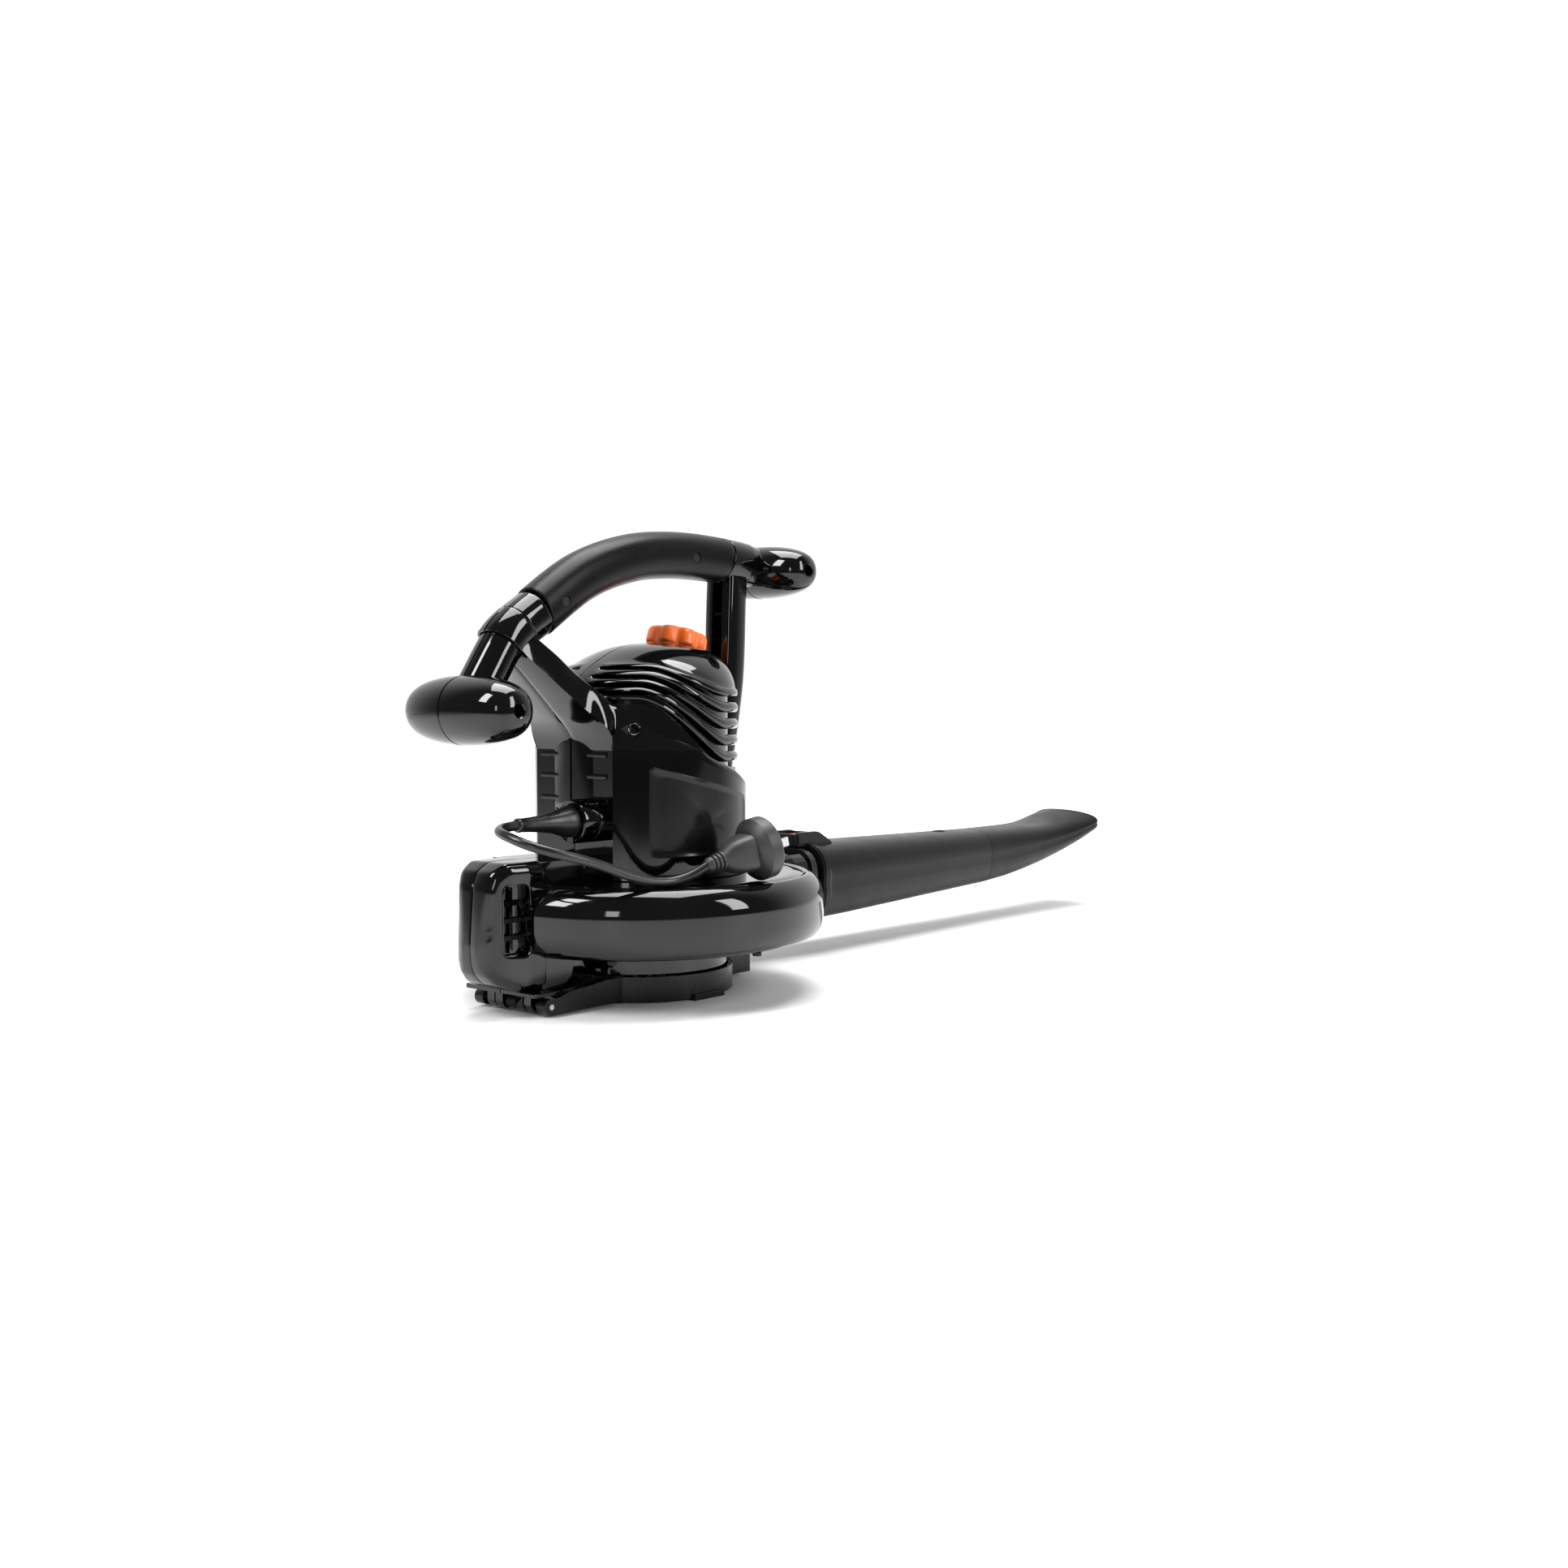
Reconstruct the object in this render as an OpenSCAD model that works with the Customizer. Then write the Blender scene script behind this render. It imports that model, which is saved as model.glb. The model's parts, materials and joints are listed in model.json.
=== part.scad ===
// Corded leaf blower: a flat fan casing with a hinged intake cover under it, a motor housing with a
// vented dome on top, an arched handle with two T-bars, and a two-piece blower tube.
// +X runs forward along the blower tube, +Y to the left, +Z up. The origin is on the motor's axis,
// at the floor.

/* [Fan casing] */
// Outer radius of the round fan casing
casing_r = 139; // [134:1:142]
// Height of the casing's underside above the floor
casing_z0 = 39; // [38:1:40]
// Height of the casing's top face
casing_z1 = 91; // [90:1:92]
// Radius of the casing's rounded rim
casing_round = 22; // [18:1:24]
// Wall thickness of the moulded shells
wall = 2.5; // [2:0.1:3]
// Radius of the round suction inlet
inlet_r = 58; // [54:1:60]

/* [Motor housing] */
// Outer radius of the motor housing
housing_r = 81; // [80:0.5:82]
// Outer radius of the vented cap
cap_r = 73; // [71:0.5:74]
// Number of louvre grooves in the cap
louvre_count = 5; // [4:1:6]

/* [Handle] */
// Half thickness of the soft grip
grip_r = 18; // [17.5:0.1:19]
// Half thickness of the core that the grip covers
core_r = 15; // [13:0.5:16]
// Half length of the rear T-bar
rear_bar = 56; // [48:1:60]
// Half length of the front T-bar
front_bar = 52; // [46:1:58]

/* [Blower tube] */
// Start of the tube along X
tube_x0 = 217; // [214:1:220]
// Seam between the tube and the nozzle
seam_x = 496; // [470:1:510]
// Tip of the nozzle
tip_x = 692; // [680:1:700]
// Sideways place of the tube's axis
tube_y = 30; // [26:1:34]

/* [Rotor] */
// Radius of the motor shaft
shaft_r = 4; // [3:0.5:5]
// Number of impeller blades
blade_count = 9; // [6:1:12]
// Outer radius of the impeller
impeller_r = 112; // [100:1:116]

/* [Speed knob] */
// Radius of the speed knob
knob_r = 25; // [22:0.5:27]
// Number of finger scallops around the knob
scallop_count = 8; // [6:1:12]

/* [Cord] */
// Diameter of the mains lead
cord_d = 7; // [6:0.5:8]

/* [Hidden] */

$fn = 64;
big = 2000;
eps = 0.01;
gloss_black = [0.05, 0.05, 0.06];
soft_black = [0.16, 0.16, 0.18];
tube_grey = [0.27, 0.27, 0.28];
orange = [0.98, 0.38, 0.13];
steel = [0.72, 0.73, 0.75];
copper = [0.75, 0.42, 0.22];

// Centreline of the handle in the plane y = 0, from the rear T-bar to the front one
handle_path = [[-168, 215], [-159, 230], [-150, 244], [-142, 256], [-134, 266], [-121, 276],
    [-107, 285], [-82, 302], [-61, 314], [-35, 324], [-5, 331.5], [25, 335], [56, 336],
    [89, 335], [108, 334], [126, 331.5], [142, 328]];
rear_seam = 6;
front_seam = 13;
rear_bar_at = [-168, 0, 215];
front_bar_at = [142, 0, 328];

// Motor housing and arm: height, centre in X, half length in X, half width in Y, roundness
housing_rings = [[casing_z1, 0, 1, 1, 1], [130, 0, 1, 1, 1], [185, 0, 1, 1, 1],
    [199, -5, 0.889, 0.77, 0.6], [213, -40, 0.617, 0.53, 0.6], [229, -75, 0.395, 0.364, 0.6],
    [244, -93, 0.377, 0.284, 0.6], [259, -110, 0.346, 0.228, 0.6], [276, -122, 0.27, 0.2, 0.6]];
// Flat rear of the housing below the arm
housing_flat_x = -70;
// Upper edge of the housing, seen from the side
ridge = [[-118, 272], [-104, 255], [-91, 243], [-75, 230], [-61, 216.5], [-48, 205], [-28, 191],
    [0, 178], [37, 166], [90, 150]];

// Dome of the cap: height, centre in X, radius
dome_rings = [[124, 0, 73], [226, 0, 73], [237, 3, 69.5], [247, 8, 62], [255, 12.5, 52],
    [261, 15, 40.5], [264.5, 16, 28], [266.5, 16, 13]];
cap_shift = cap_r - 73;
louvre_rear_z = 247.4;
louvre_front_z = 226;
louvre_rear_step = 6.1;
louvre_front_step = 12.2;
louvre_gap = 3.6;

// The knob's axis leans forward with the dome
knob_tilt = 15;
knob_at = [38, 0, 262.5];
knob_h = 14;
spindle_r = 3;

// Heights of the duct's axis at the tube's root and at the seam
tube_z = 62;
seam_z = 64.5;
// Outlet neck: X, centre in Y, centre in Z, half width, half height
neck_rings = [[30, 70, 65, 48, 22.5], [75, 66, 65, 46, 22.5], [110, 56, 64.5, 43, 23.5],
    [150, 40, 63, 38, 26.5], [185, tube_y, tube_z, 33, 29.5], [262, tube_y, tube_z, 33, 29.5]];
// Blower tube and nozzle: X, centre in Z, half width, half height
tube_rings = [[tube_x0, tube_z, 36.5, 34], [280, 62.5, 36, 33], [390, 63.5, 33.5, 30],
    [seam_x, seam_z, 31, 27.3]];
nozzle_rings = [[seam_x, seam_z, 31, 27.3], [545, 66.5, 32, 25], [590, 70, 33.5, 21.5],
    [630, 75, 36, 17.5], [662, 81, 39, 13.8], [tip_x, 88.5, 41, 10.5]];
spigot_len = 35;
slip = 0.4;

// Hinge of the intake cover
hinge_x = -128;
hinge_z = 7.5;
pin_r = 2;
arm_y0 = 29;
arm_y1 = 38;
frame_y = 26;

// Cord, from the strain relief's tip round a half loop to the plug
cord_exit = [-143, -20, 135];
plug_yaw = -12;
plug_pitch = 12;
plug_at = [-42, -108, 105];
cord_route = [cord_exit, [-150, -20, 134.5], [-157, -22, 134], [-164, -27, 133], [-170, -36, 132],
    [-172, -47, 130], [-169, -59, 126], [-161, -69, 122], [-149, -76, 118], [-135, -80, 114],
    [-120, -83, 109], [-108, -86, 104], [-97, -89, 100], [-86, -92, 96.6], [-74, -95, 95],
    [-63, -98, 95.5], [-52, -103, 99], plug_at];

// Universal motor
stator_z0 = 126;
stator_z1 = 168;
commutator_z = 182;
lower_bearing_z = 97;
upper_bearing_z = 202;

// ---------------------------------------------------------------- helpers

function signed_pow(v, e) = sign(v) * pow(abs(v), e);
// n points of a rounded outline with half sizes a along u and b along v; e = 1 is an ellipse
function ring(c, u, v, a, b, e, n) = [for (i = [0:n - 1])
    let(t = 360 * (i + 0.5) / n)
    c + u * a * signed_pow(cos(t), e) + v * b * signed_pow(sin(t), e)];
function flat_ring(z, cx, a, b, e, n) = ring([cx, 0, z], [1, 0, 0], [0, 1, 0], a, b, e, n);
function unit(v) = v / norm(v);
function at3(p) = [p[0], 0, p[1]];
function path_dir(path, i) = unit(path[min(i + 1, len(path) - 1)] - path[max(i - 1, 0)]);
function tube_ring(p, d, r, n) = let(
    side = unit(cross(d, abs(d[2]) > 0.9 ? [1, 0, 0] : [0, 0, 1])),
    up = cross(d, side))
    [for (i = [0:n - 1]) p + side * r * cos(360 * i / n) + up * r * sin(360 * i / n)];

// Closed solid through a list of rings that all have the same number of points
module loft(rings) {
    n = len(rings[0]);
    m = len(rings);
    sides = [for (j = [0:m - 2]) for (i = [0:n - 1]) let(k = (i + 1) % n)
        each [[j * n + i, (j + 1) * n + i, (j + 1) * n + k], [j * n + i, (j + 1) * n + k, j * n + k]]];
    caps = [[for (i = [0:n - 1]) i], [for (i = [n - 1:-1:0]) (m - 1) * n + i]];
    polyhedron(points = [for (r = rings) each r], faces = concat(caps, sides));
}

// Round tube of radius r along a 3-D path
module sweep(path, r, n) {
    loft([for (i = [0:len(path) - 1]) tube_ring(path[i], path_dir(path, i), r, n)]);
}

// The half of its children on the left (side = 1) or on the right (side = -1)
module half(side) {
    intersection() {
        children();
        translate([-big / 2, side > 0 ? 0 : -big, -big / 2]) cube(big);
    }
}

// Cylinder of radius r and length h that starts at p and runs along +Y or -Y
module y_rod(p, r, h, dir = 1) {
    translate(p) rotate([dir > 0 ? -90 : 90, 0, 0]) cylinder(r = r, h = h);
}

module x_rod(p, r, h) {
    translate(p) rotate([0, 90, 0]) cylinder(r = r, h = h);
}

// Close-wound spring of count turns along Z, as one ridged sleeve from radius r0 to r1
module coils(count, pitch, r0, r1) {
    rotate_extrude()
        polygon([[r0, 0], for (i = [0:count - 1])
            each [[r1 - 0.7, i * pitch], [r1, (i + 0.3) * pitch], [r1, (i + 0.7) * pitch]],
            [r1 - 0.7, count * pitch], [r0, count * pitch]]);
}

// Screw with a domed head; it stands on z = 0 and its shank goes down
module screw(head_r, shank_r, len) {
    cylinder(r = head_r, h = 2.4);
    translate([0, 0, -len]) cylinder(r = shank_r, h = len + eps);
}

// ---------------------------------------------------------------- motor housing

module housing_solid(inset) {
    difference() {
        loft([for (h = housing_rings) flat_ring(h[0], h[1],
            h[2] * housing_r - inset, h[3] * housing_r - inset, h[4], 40)]);
        rotate([90, 0, 0])
            linear_extrude(height = 200, center = true)
                polygon([[housing_flat_x + inset, 80], [housing_flat_x + inset, 190],
                    [-76 + inset, 199], [-110, 232], [-110, 80]]);
    }
}

// Everything above the housing's ridge, lowered by drop
module above_ridge(drop) {
    top = 320;
    rotate([90, 0, 0])
        linear_extrude(height = 400, center = true)
            polygon([for (p = ridge) [p[0], p[1] - drop], [90, top], [-117, top]]);
}

// Screw pockets on the side of the housing: X, depth of the seat along Y, Z, length of the boss
housing_screw_at = [[-62, 47.5, 201, 6.5], [-54, 50, 104, 11.5], [58, 47, 112, 10.5]];

module housing_half() {
    difference() {
        half(1) {
            union() {
                difference() {
                    housing_solid(0);
                    housing_solid(wall);
                }
                difference() {
                    intersection() {
                        housing_solid(eps);
                        difference() {
                            above_ridge(3);
                            above_ridge(0);
                        }
                    }
                    cylinder(r = cap_r + 0.3, h = 400);
                }
                for (z = [166, 181])
                    translate([housing_flat_x - 0.8, -33, z]) cube([2, 66, 3.4]);
            }
        }
        above_ridge(0);
        intersection() {
            cylinder(r = cap_r + 0.2, h = 226);
            translate([-66, 0, 186]) cube([60, 90, 40]);
        }
        handle_run(2, rear_seam, grip_r - 0.5, 0);
        for (q = housing_screw_at)
            y_rod([q[0], q[1] - 3, q[2]], 3.6, 100);
    }
    for (q = housing_screw_at)
        difference() {
            y_rod([q[0], q[1] - 5.2, q[2]], 5.6, q[3]);
            y_rod([q[0], q[1] - 8, q[2]], 1.7, 40);
            y_rod([q[0], q[1], q[2]], 3.6, 100);
        }
}

module housing_left() {
    color(gloss_black) housing_half();
}

module housing_right() {
    color(gloss_black)
        difference() {
            mirror([0, 1, 0]) housing_half();
            x_rod([-100, cord_exit[1], cord_exit[2]], 8, 60);
        }
}

// ---------------------------------------------------------------- vented cap

module dome(inset) {
    loft([for (d = dome_rings) flat_ring(d[0] - (d[0] > 200 ? inset : 0), d[1],
        d[2] + cap_shift - inset, d[2] + cap_shift - inset, 1, 48)]);
}

// One louvre groove: a thin slab that drops towards the front
module louvre_slab(i) {
    rear = louvre_rear_z - louvre_rear_step * i;
    front = louvre_front_z - louvre_front_step * i;
    lean = atan2(rear - front, 107);
    translate([-73, 0, rear])
        rotate([0, lean, 0])
            translate([-20, -100, -louvre_gap / 2]) cube([150, 200, louvre_gap]);
}

module cap_half(side) {
    difference() {
        half(side) {
            union() {
                difference() {
                    dome(0);
                    dome(5);
                }
                translate(knob_at) rotate([0, knob_tilt, 0])
                    translate([0, 0, -6]) cylinder(r = knob_r - 1.5, h = 5.6);
            }
        }
        difference() {
            translate([-100, -100, 100]) cube([200, 200, 200]);
            above_ridge(6);
        }
        difference() {
            intersection() {
                for (i = [0:louvre_count - 1])
                    louvre_slab(i);
                translate([-90, -90, 150]) cube([134, 180, 100]);
            }
            cylinder(r = cap_r - 3.2, h = 300);
        }
        for (a = [35:22:145])
            rotate([0, 0, a * side])
                translate([cap_r - 6, -7, 176 - 6 * sin(a)]) cube([3.2, 14, 56]);
        translate(knob_at) rotate([0, knob_tilt, 0]) {
            translate([0, 0, -30]) cylinder(r = spindle_r + 0.4, h = 40);
            translate([0, 0, -0.4]) cylinder(r = knob_r + 0.6, h = 40);
        }
        y_rod([-5, side * 38, 251], 4, 40, side);
    }
}

module vent_cap_left() {
    color(gloss_black) cap_half(1);
}

module vent_cap_right() {
    color(gloss_black) cap_half(-1);
}

// ---------------------------------------------------------------- handle

// Ring round the handle's centreline at one of its points, moved along it by shift
function handle_ring(i, shift, r) = let(
    path = [for (p = handle_path) at3(p)],
    d = path_dir(path, i))
    ring(path[i] + d * shift, [0, 1, 0], cross(d, [0, 1, 0]), r, r, 0.9, 20);

// Part of the handle between two of its points, with the ends moved in by gap
module handle_run(first, last, r, gap) {
    loft([for (i = [first:last])
        handle_ring(i, i == first ? gap : i == last ? -gap : 0, r)]);
}

// Blunt bar across the handle: half lengths a, l and b along X, Y and Z
module t_bar(c, a, l, b) {
    loft([for (s = [-81:18:81])
        ring(c + [0, l * sin(s) * 1.015, 0], [0, 0, 1], [1, 0, 0], b * pow(cos(s), 0.62),
            a * pow(cos(s), 0.62), 0.9, 20)]);
}

// Core of the handle, with a collar at each end of the grip
module handle_outer(inset) {
    collar = grip_r - 0.5 - inset;
    core = core_r - inset;
    loft([for (q = [[0, 0, core - 0.5], [1, 0, core - 0.5], [2, 0, core], [3, -3, core + 0.5],
        [3, 0, collar], [4, 0, collar], [5, 0, collar], [rear_seam, 0, collar],
        [rear_seam, 0.2, core], for (i = [rear_seam + 1:front_seam - 1]) [i, 0, core],
        [front_seam, -0.2, core], [front_seam, 0, collar + 0.5], [14, 0, collar],
        [15, 0, collar - 1], [16, 0, collar - 2]]) handle_ring(q[0], q[1], q[2])]);
}

module handle_half(side) {
    difference() {
        half(side) {
            union() {
                handle_outer(0);
                t_bar(rear_bar_at, 26, rear_bar, 24.5);
                t_bar(front_bar_at, 24, front_bar, 21.5);
            }
        }
        union() {
            handle_outer(wall + 0.5);
            t_bar(rear_bar_at, 26 - wall, rear_bar - wall, 24.5 - wall);
            t_bar(front_bar_at, 24 - wall, front_bar - wall, 21.5 - wall);
        }
        for (q = bar_screw_at)
            y_rod([q[0], side * q[1], q[2]], 4, 40, side);
        for (p = grip_screw_at)
            y_rod([p[0], 0, p[1]], 2, 40, side);
    }
    for (q = bar_screw_at)
        difference() {
            y_rod([q[0], side * (q[1] - 12), q[2]], 5.5, 22.5, side);
            y_rod([q[0], side * (q[1] - 14), q[2]], 1.7, 30, side);
            y_rod([q[0], side * q[1], q[2]], 4, 40, side);
        }
}

// Screws that hold the grips: place in the side view
grip_screw_at = [[-92, 293], [45, 333]];
// Screws at the ends of the T-bars: X, depth of the seat along Y, Z
bar_screw_at = [[-168, 44, 215], [142, 40, 328]];

module handle_left() {
    color(gloss_black) handle_half(1);
}

module handle_right() {
    color(gloss_black) handle_half(-1);
}

module grip_half(side) {
    difference() {
        half(side)
            handle_run(rear_seam, front_seam, grip_r, 0.3);
        handle_run(rear_seam - 1, front_seam + 1, core_r, 0);
        for (p = grip_screw_at)
            y_rod([p[0], side * 8, p[1]], 4.1, 40, side);
    }
}

module grip_left() {
    color(soft_black) grip_half(1);
}

module grip_right() {
    color(soft_black) grip_half(-1);
}

// Front strut from the handle's front end down to the housing: X and Z of its centreline
strut_path = [[99.5, 320], [98, 294], [96, 266], [94, 239], [90, 214], [85, 189], [80, 164],
    [76, 139]];
strut_a = 11;
strut_w = 14;

module strut_half(side) {
    path = [for (p = strut_path) at3(p)];
    difference() {
        half(side)
            loft([for (i = [0:len(path) - 1])
                ring(path[i], [0, 1, 0], cross(path_dir(path, i), [0, 1, 0]), strut_w, strut_a,
                    0.5, 20)]);
        for (i = [0:len(path) - 2])
            translate([path[i][0] - strut_a - 2, -5, path[i][2] - 30]) cube([7, 10, 28]);
        handle_outer(0);
        housing_solid(0);
        y_rod([96, side * 6, 236], 4, 20, side);
        dome(-0.3);
    }
}

module front_strut_left() {
    color(gloss_black) strut_half(1);
}

module front_strut_right() {
    color(gloss_black) strut_half(-1);
}

// ---------------------------------------------------------------- fan casing

// Flat in the rim behind which the hinge block sits: its distance from the axis and half width
casing_flat_x = 124;
casing_flat_y = 40;

// Side profile of the round casing, with the wall taken off
module casing_profile(inset) {
    h = casing_z1 - casing_z0 - 2 * inset;
    r = casing_round - inset;
    translate([0, casing_z0 + inset]) square([casing_r - inset - r, h]);
    translate([0, casing_z0 + inset + r]) square([casing_r - inset, h - 2 * r]);
    for (z = [casing_z0 + inset + r, casing_z1 - inset - r])
        translate([casing_r - inset - r, z]) circle(r);
}

module casing_disc(inset) {
    difference() {
        rotate_extrude($fn = 96)
            intersection() {
                casing_profile(inset);
                square([casing_r, 100]);
            }
        translate([-200, -casing_flat_y - inset, 0])
            cube([200 - casing_flat_x + inset, 2 * (casing_flat_y + inset), 200]);
    }
}

module neck(inset, start) {
    loft([for (i = [0:len(neck_rings) - 1]) let(q = neck_rings[i])
        ring([q[0] + (i == 0 ? start : i == 5 && inset > 0 ? 1 : 0), q[1], q[2]], [0, 1, 0],
            [0, 0, 1], q[3] - inset, q[4] - inset, 0.55, 28)]);
}

module casing_shell() {
    difference() {
        union() {
            casing_disc(0);
            neck(0, 0);
        }
        casing_disc(wall);
        neck(wall, 2);
    }
}

casing_seam_z = 50;
casing_screw_at = [[60, 118], [125, 118], [215, 118], [270, 118], [325, 118]];

module volute_upper() {
    color(gloss_black)
        difference() {
            casing_shell();
            translate([-big / 2, -big / 2, casing_seam_z - big]) cube(big);
            cylinder(r = 30, h = 200);
        }
}

module volute_lower() {
    color(gloss_black)
        difference() {
            union() {
                difference() {
                    casing_shell();
                    translate([-big / 2, -big / 2, casing_seam_z]) cube(big);
                }
                translate([0, 0, casing_z0 - 18]) cylinder(r = inlet_r + 8, h = 20);
                translate([76, -13, casing_z0 - 11]) cube([22, 26, 12]);
                for (s = casing_screw_at) rotate([0, 0, s[0]])
                    translate([s[1], 0, casing_z0 + 1]) cylinder(r = 5, h = 9);
            }
            translate([0, 0, 10]) cylinder(r = inlet_r, h = 40);
            translate([78.5, -10.5, casing_z0 - 9]) cube([17, 21, 9]);
            translate([87, 0, 10]) cylinder(r = 1.8, h = 20);
            for (s = casing_screw_at) rotate([0, 0, s[0]]) {
                translate([s[1], 0, 20]) cylinder(r = 1.6, h = 40);
            }
        }
}

module outlet_gasket() {
    color(soft_black)
        difference() {
            loft([for (x = [204, 211]) ring([x, tube_y, tube_z], [0, 1, 0], [0, 0, 1], 35, 31.5, 0.55, 28)]);
            neck(0, 0);
        }
}

// ---------------------------------------------------------------- rear hinge block

module frame_outline(inset) {
    polygon([[-141 + inset, 17 + inset], [-163 + inset, 28 + inset], [-168 + inset, 38 + inset],
        [-169 + inset, 50], [-165 + inset, 96 - inset], [-160 + inset, 105 - inset],
        [-152 + inset, 109 - inset], [-70.2, 109 - inset], [-70.2, casing_z1 + inset],
        [-casing_flat_x - inset, casing_z1 + inset], [-casing_flat_x - inset, 17 + inset]]);
}

// The block seen from above: narrow at the rear, wider towards the casing
module frame_plan(inset) {
    edge = [[-170, 10], [-165, 16], [-150, 21], [-124, frame_y], [-60, frame_y]];
    polygon([for (q = edge) [q[0] + inset, q[1] - inset],
        for (i = [len(edge) - 1:-1:0]) [edge[i][0] + inset, inset - edge[i][1]]]);
}

module frame_slab(inset) {
    intersection() {
        rotate([90, 0, 0])
            linear_extrude(height = 80, center = true)
                frame_outline(inset);
        linear_extrude(height = 150)
            frame_plan(inset);
    }
}

module frame_half(side) {
    difference() {
        half(side) {
            union() {
                frame_slab(0);
                for (y = [11, 20])
                    y_rod([hinge_x, side * (y - 4), hinge_z], 5.5, 8, side);
                translate([hinge_x - 5.5, side > 0 ? 7 : -24, hinge_z]) cube([11, 17, 12]);
                translate([-141, side > 0 ? 0 : -37, 15]) cube([18, 37, 3]);
            }
        }
        frame_slab(wall);
        y_rod([hinge_x, -40, hinge_z], pin_r + 0.05, 80, 1);
        translate([-156, side > 0 ? 16 : -40, 46]) cube([22, 24, 48]);
        for (z = [34, 101])
            y_rod([-146, side * 17, z], 3.4, 20, side);
    }
    for (z = [34, 101])
        difference() {
            y_rod([-146, side * 3, z], 5, 17, side);
            y_rod([-146, 0, z], 1.6, 40, side);
            y_rod([-146, side * 16, z], 3.4, 20, side);
        }
    for (z = [62, 78])
        translate([-157, side > 0 ? 16 : -19, z]) cube([24, 3, 3]);
}

module hinge_frame_left() {
    color(gloss_black) frame_half(1);
}

module hinge_frame_right() {
    color(gloss_black) frame_half(-1);
}

module hinge_pin() {
    color(steel) {
        y_rod([hinge_x, -arm_y1 - 1, hinge_z], pin_r, 2 * arm_y1 + 2, 1);
        y_rod([hinge_x, arm_y1 + 0.5, hinge_z], pin_r + 1.4, 1.2, 1);
    }
}

// Torsion spring on the pin, between the two middle knuckles
module hinge_spring() {
    color(steel)
        translate([hinge_x, 0, hinge_z]) rotate([90, 0, 0])
            translate([0, 0, -5.4]) coils(6, 1.8, 2.7, 4.5);
}

// ---------------------------------------------------------------- motor

module stator_core() {
    color([0.55, 0.55, 0.57])
        translate([0, 0, stator_z0])
            difference() {
                linear_extrude(height = stator_z1 - stator_z0)
                    difference() {
                        circle(46);
                        difference() {
                            circle(37);
                            translate([-38, -14]) square([76, 28]);
                        }
                        circle(25);
                    }
                for (a = [45:90:315]) rotate([0, 0, a])
                    translate([41.5, 0, -1]) cylinder(r = 2.2, h = 60);
            }
}

module field_coils() {
    color(copper)
        for (s = [-1, 1]) {
            for (z = [stator_z0 - 9, stator_z1 + 0.2])
                translate([s * 28.5 - 2.5, -19.5, z]) cube([5, 39, 8.8]);
            for (y = [-19.5, 14.2])
                translate([s * 28.5 - 2.5, y, stator_z0 - 1]) cube([5, 5.3, stator_z1 - stator_z0 + 2]);
        }
}

module brush_holders() {
    color([0.2, 0.17, 0.14])
        for (s = [-1, 1])
            difference() {
                translate([-6, s > 0 ? 15 : -45, commutator_z + 1]) cube([12, 30, 14]);
                translate([-3.5, -50, commutator_z + 4]) cube([7, 100, 8]);
            }
}

module carbon_brushes() {
    color([0.12, 0.12, 0.12])
        for (s = [-1, 1])
            translate([-3.3, s > 0 ? 13.2 : -33.2, commutator_z + 4.2]) cube([6.6, 20, 7.6]);
}

module bearing(z, outer) {
    translate([0, 0, z])
        difference() {
            cylinder(r = outer, h = 7);
            translate([0, 0, -1]) cylinder(r = shaft_r, h = 9);
            for (side = [-1, 6.4])
                translate([0, 0, side])
                    difference() {
                        cylinder(r = outer - 2, h = 1.6);
                        translate([0, 0, -1]) cylinder(r = shaft_r + 2, h = 4);
                    }
        }
}

module upper_bearing() {
    color(steel) bearing(upper_bearing_z, 9.5);
}

module lower_bearing() {
    color(steel) bearing(lower_bearing_z, 11);
}

module upper_bracket() {
    color([0.66, 0.67, 0.69])
        difference() {
            union() {
                translate([0, 0, upper_bearing_z - 2]) cylinder(r = 14, h = 10);
                translate([-44, -7, upper_bearing_z - 2]) cube([88, 14, 6]);
                for (s = [-1, 1])
                    translate([s * 41 - 3, -7, stator_z1]) cube([6, 14, upper_bearing_z - stator_z1]);
            }
            translate([0, 0, upper_bearing_z]) cylinder(r = 9.5, h = 20);
            translate([0, 0, upper_bearing_z - 5]) cylinder(r = 7, h = 20);
        }
}

module motor_bracket() {
    color([0.66, 0.67, 0.69])
        difference() {
            union() {
                translate([0, 0, casing_z1]) cylinder(r = 60, h = 3);
                translate([0, 0, casing_z1 + 1]) cylinder(r = 15, h = 12);
                for (a = [0:90:270]) rotate([0, 0, a])
                    translate([45, -5, casing_z1 + 1]) cube([10, 10, stator_z0 - casing_z1 - 1]);
                for (a = [45:90:315]) rotate([0, 0, a])
                    translate([12, -1.5, casing_z1 + 1]) cube([44, 3, 8]);
            }
            translate([0, 0, lower_bearing_z]) cylinder(r = 11, h = 20);
            cylinder(r = 8, h = 200);
            translate([0, 0, lower_bearing_z + 7]) cylinder(r = 44, h = 18);
            for (a = [20:90:290]) rotate([0, 0, a])
                translate([52, 0, 84]) cylinder(r = 2, h = 20);
        }
}

module motor_shaft() {
    color(steel) {
        translate([0, 0, 47]) cylinder(r = shaft_r, h = 163);
        translate([0, 0, 105]) cylinder(r = shaft_r + 1.5, h = 95);
    }
}

module armature_core() {
    color([0.5, 0.5, 0.52])
        translate([0, 0, stator_z0])
            difference() {
                cylinder(r = 24.2, h = stator_z1 - stator_z0);
                translate([0, 0, -1]) cylinder(r = shaft_r + 1.5, h = 60);
                for (a = [0:30:330]) rotate([0, 0, a])
                    translate([18, -1.6, -1]) cube([10, 3.2, 60]);
            }
}

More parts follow.
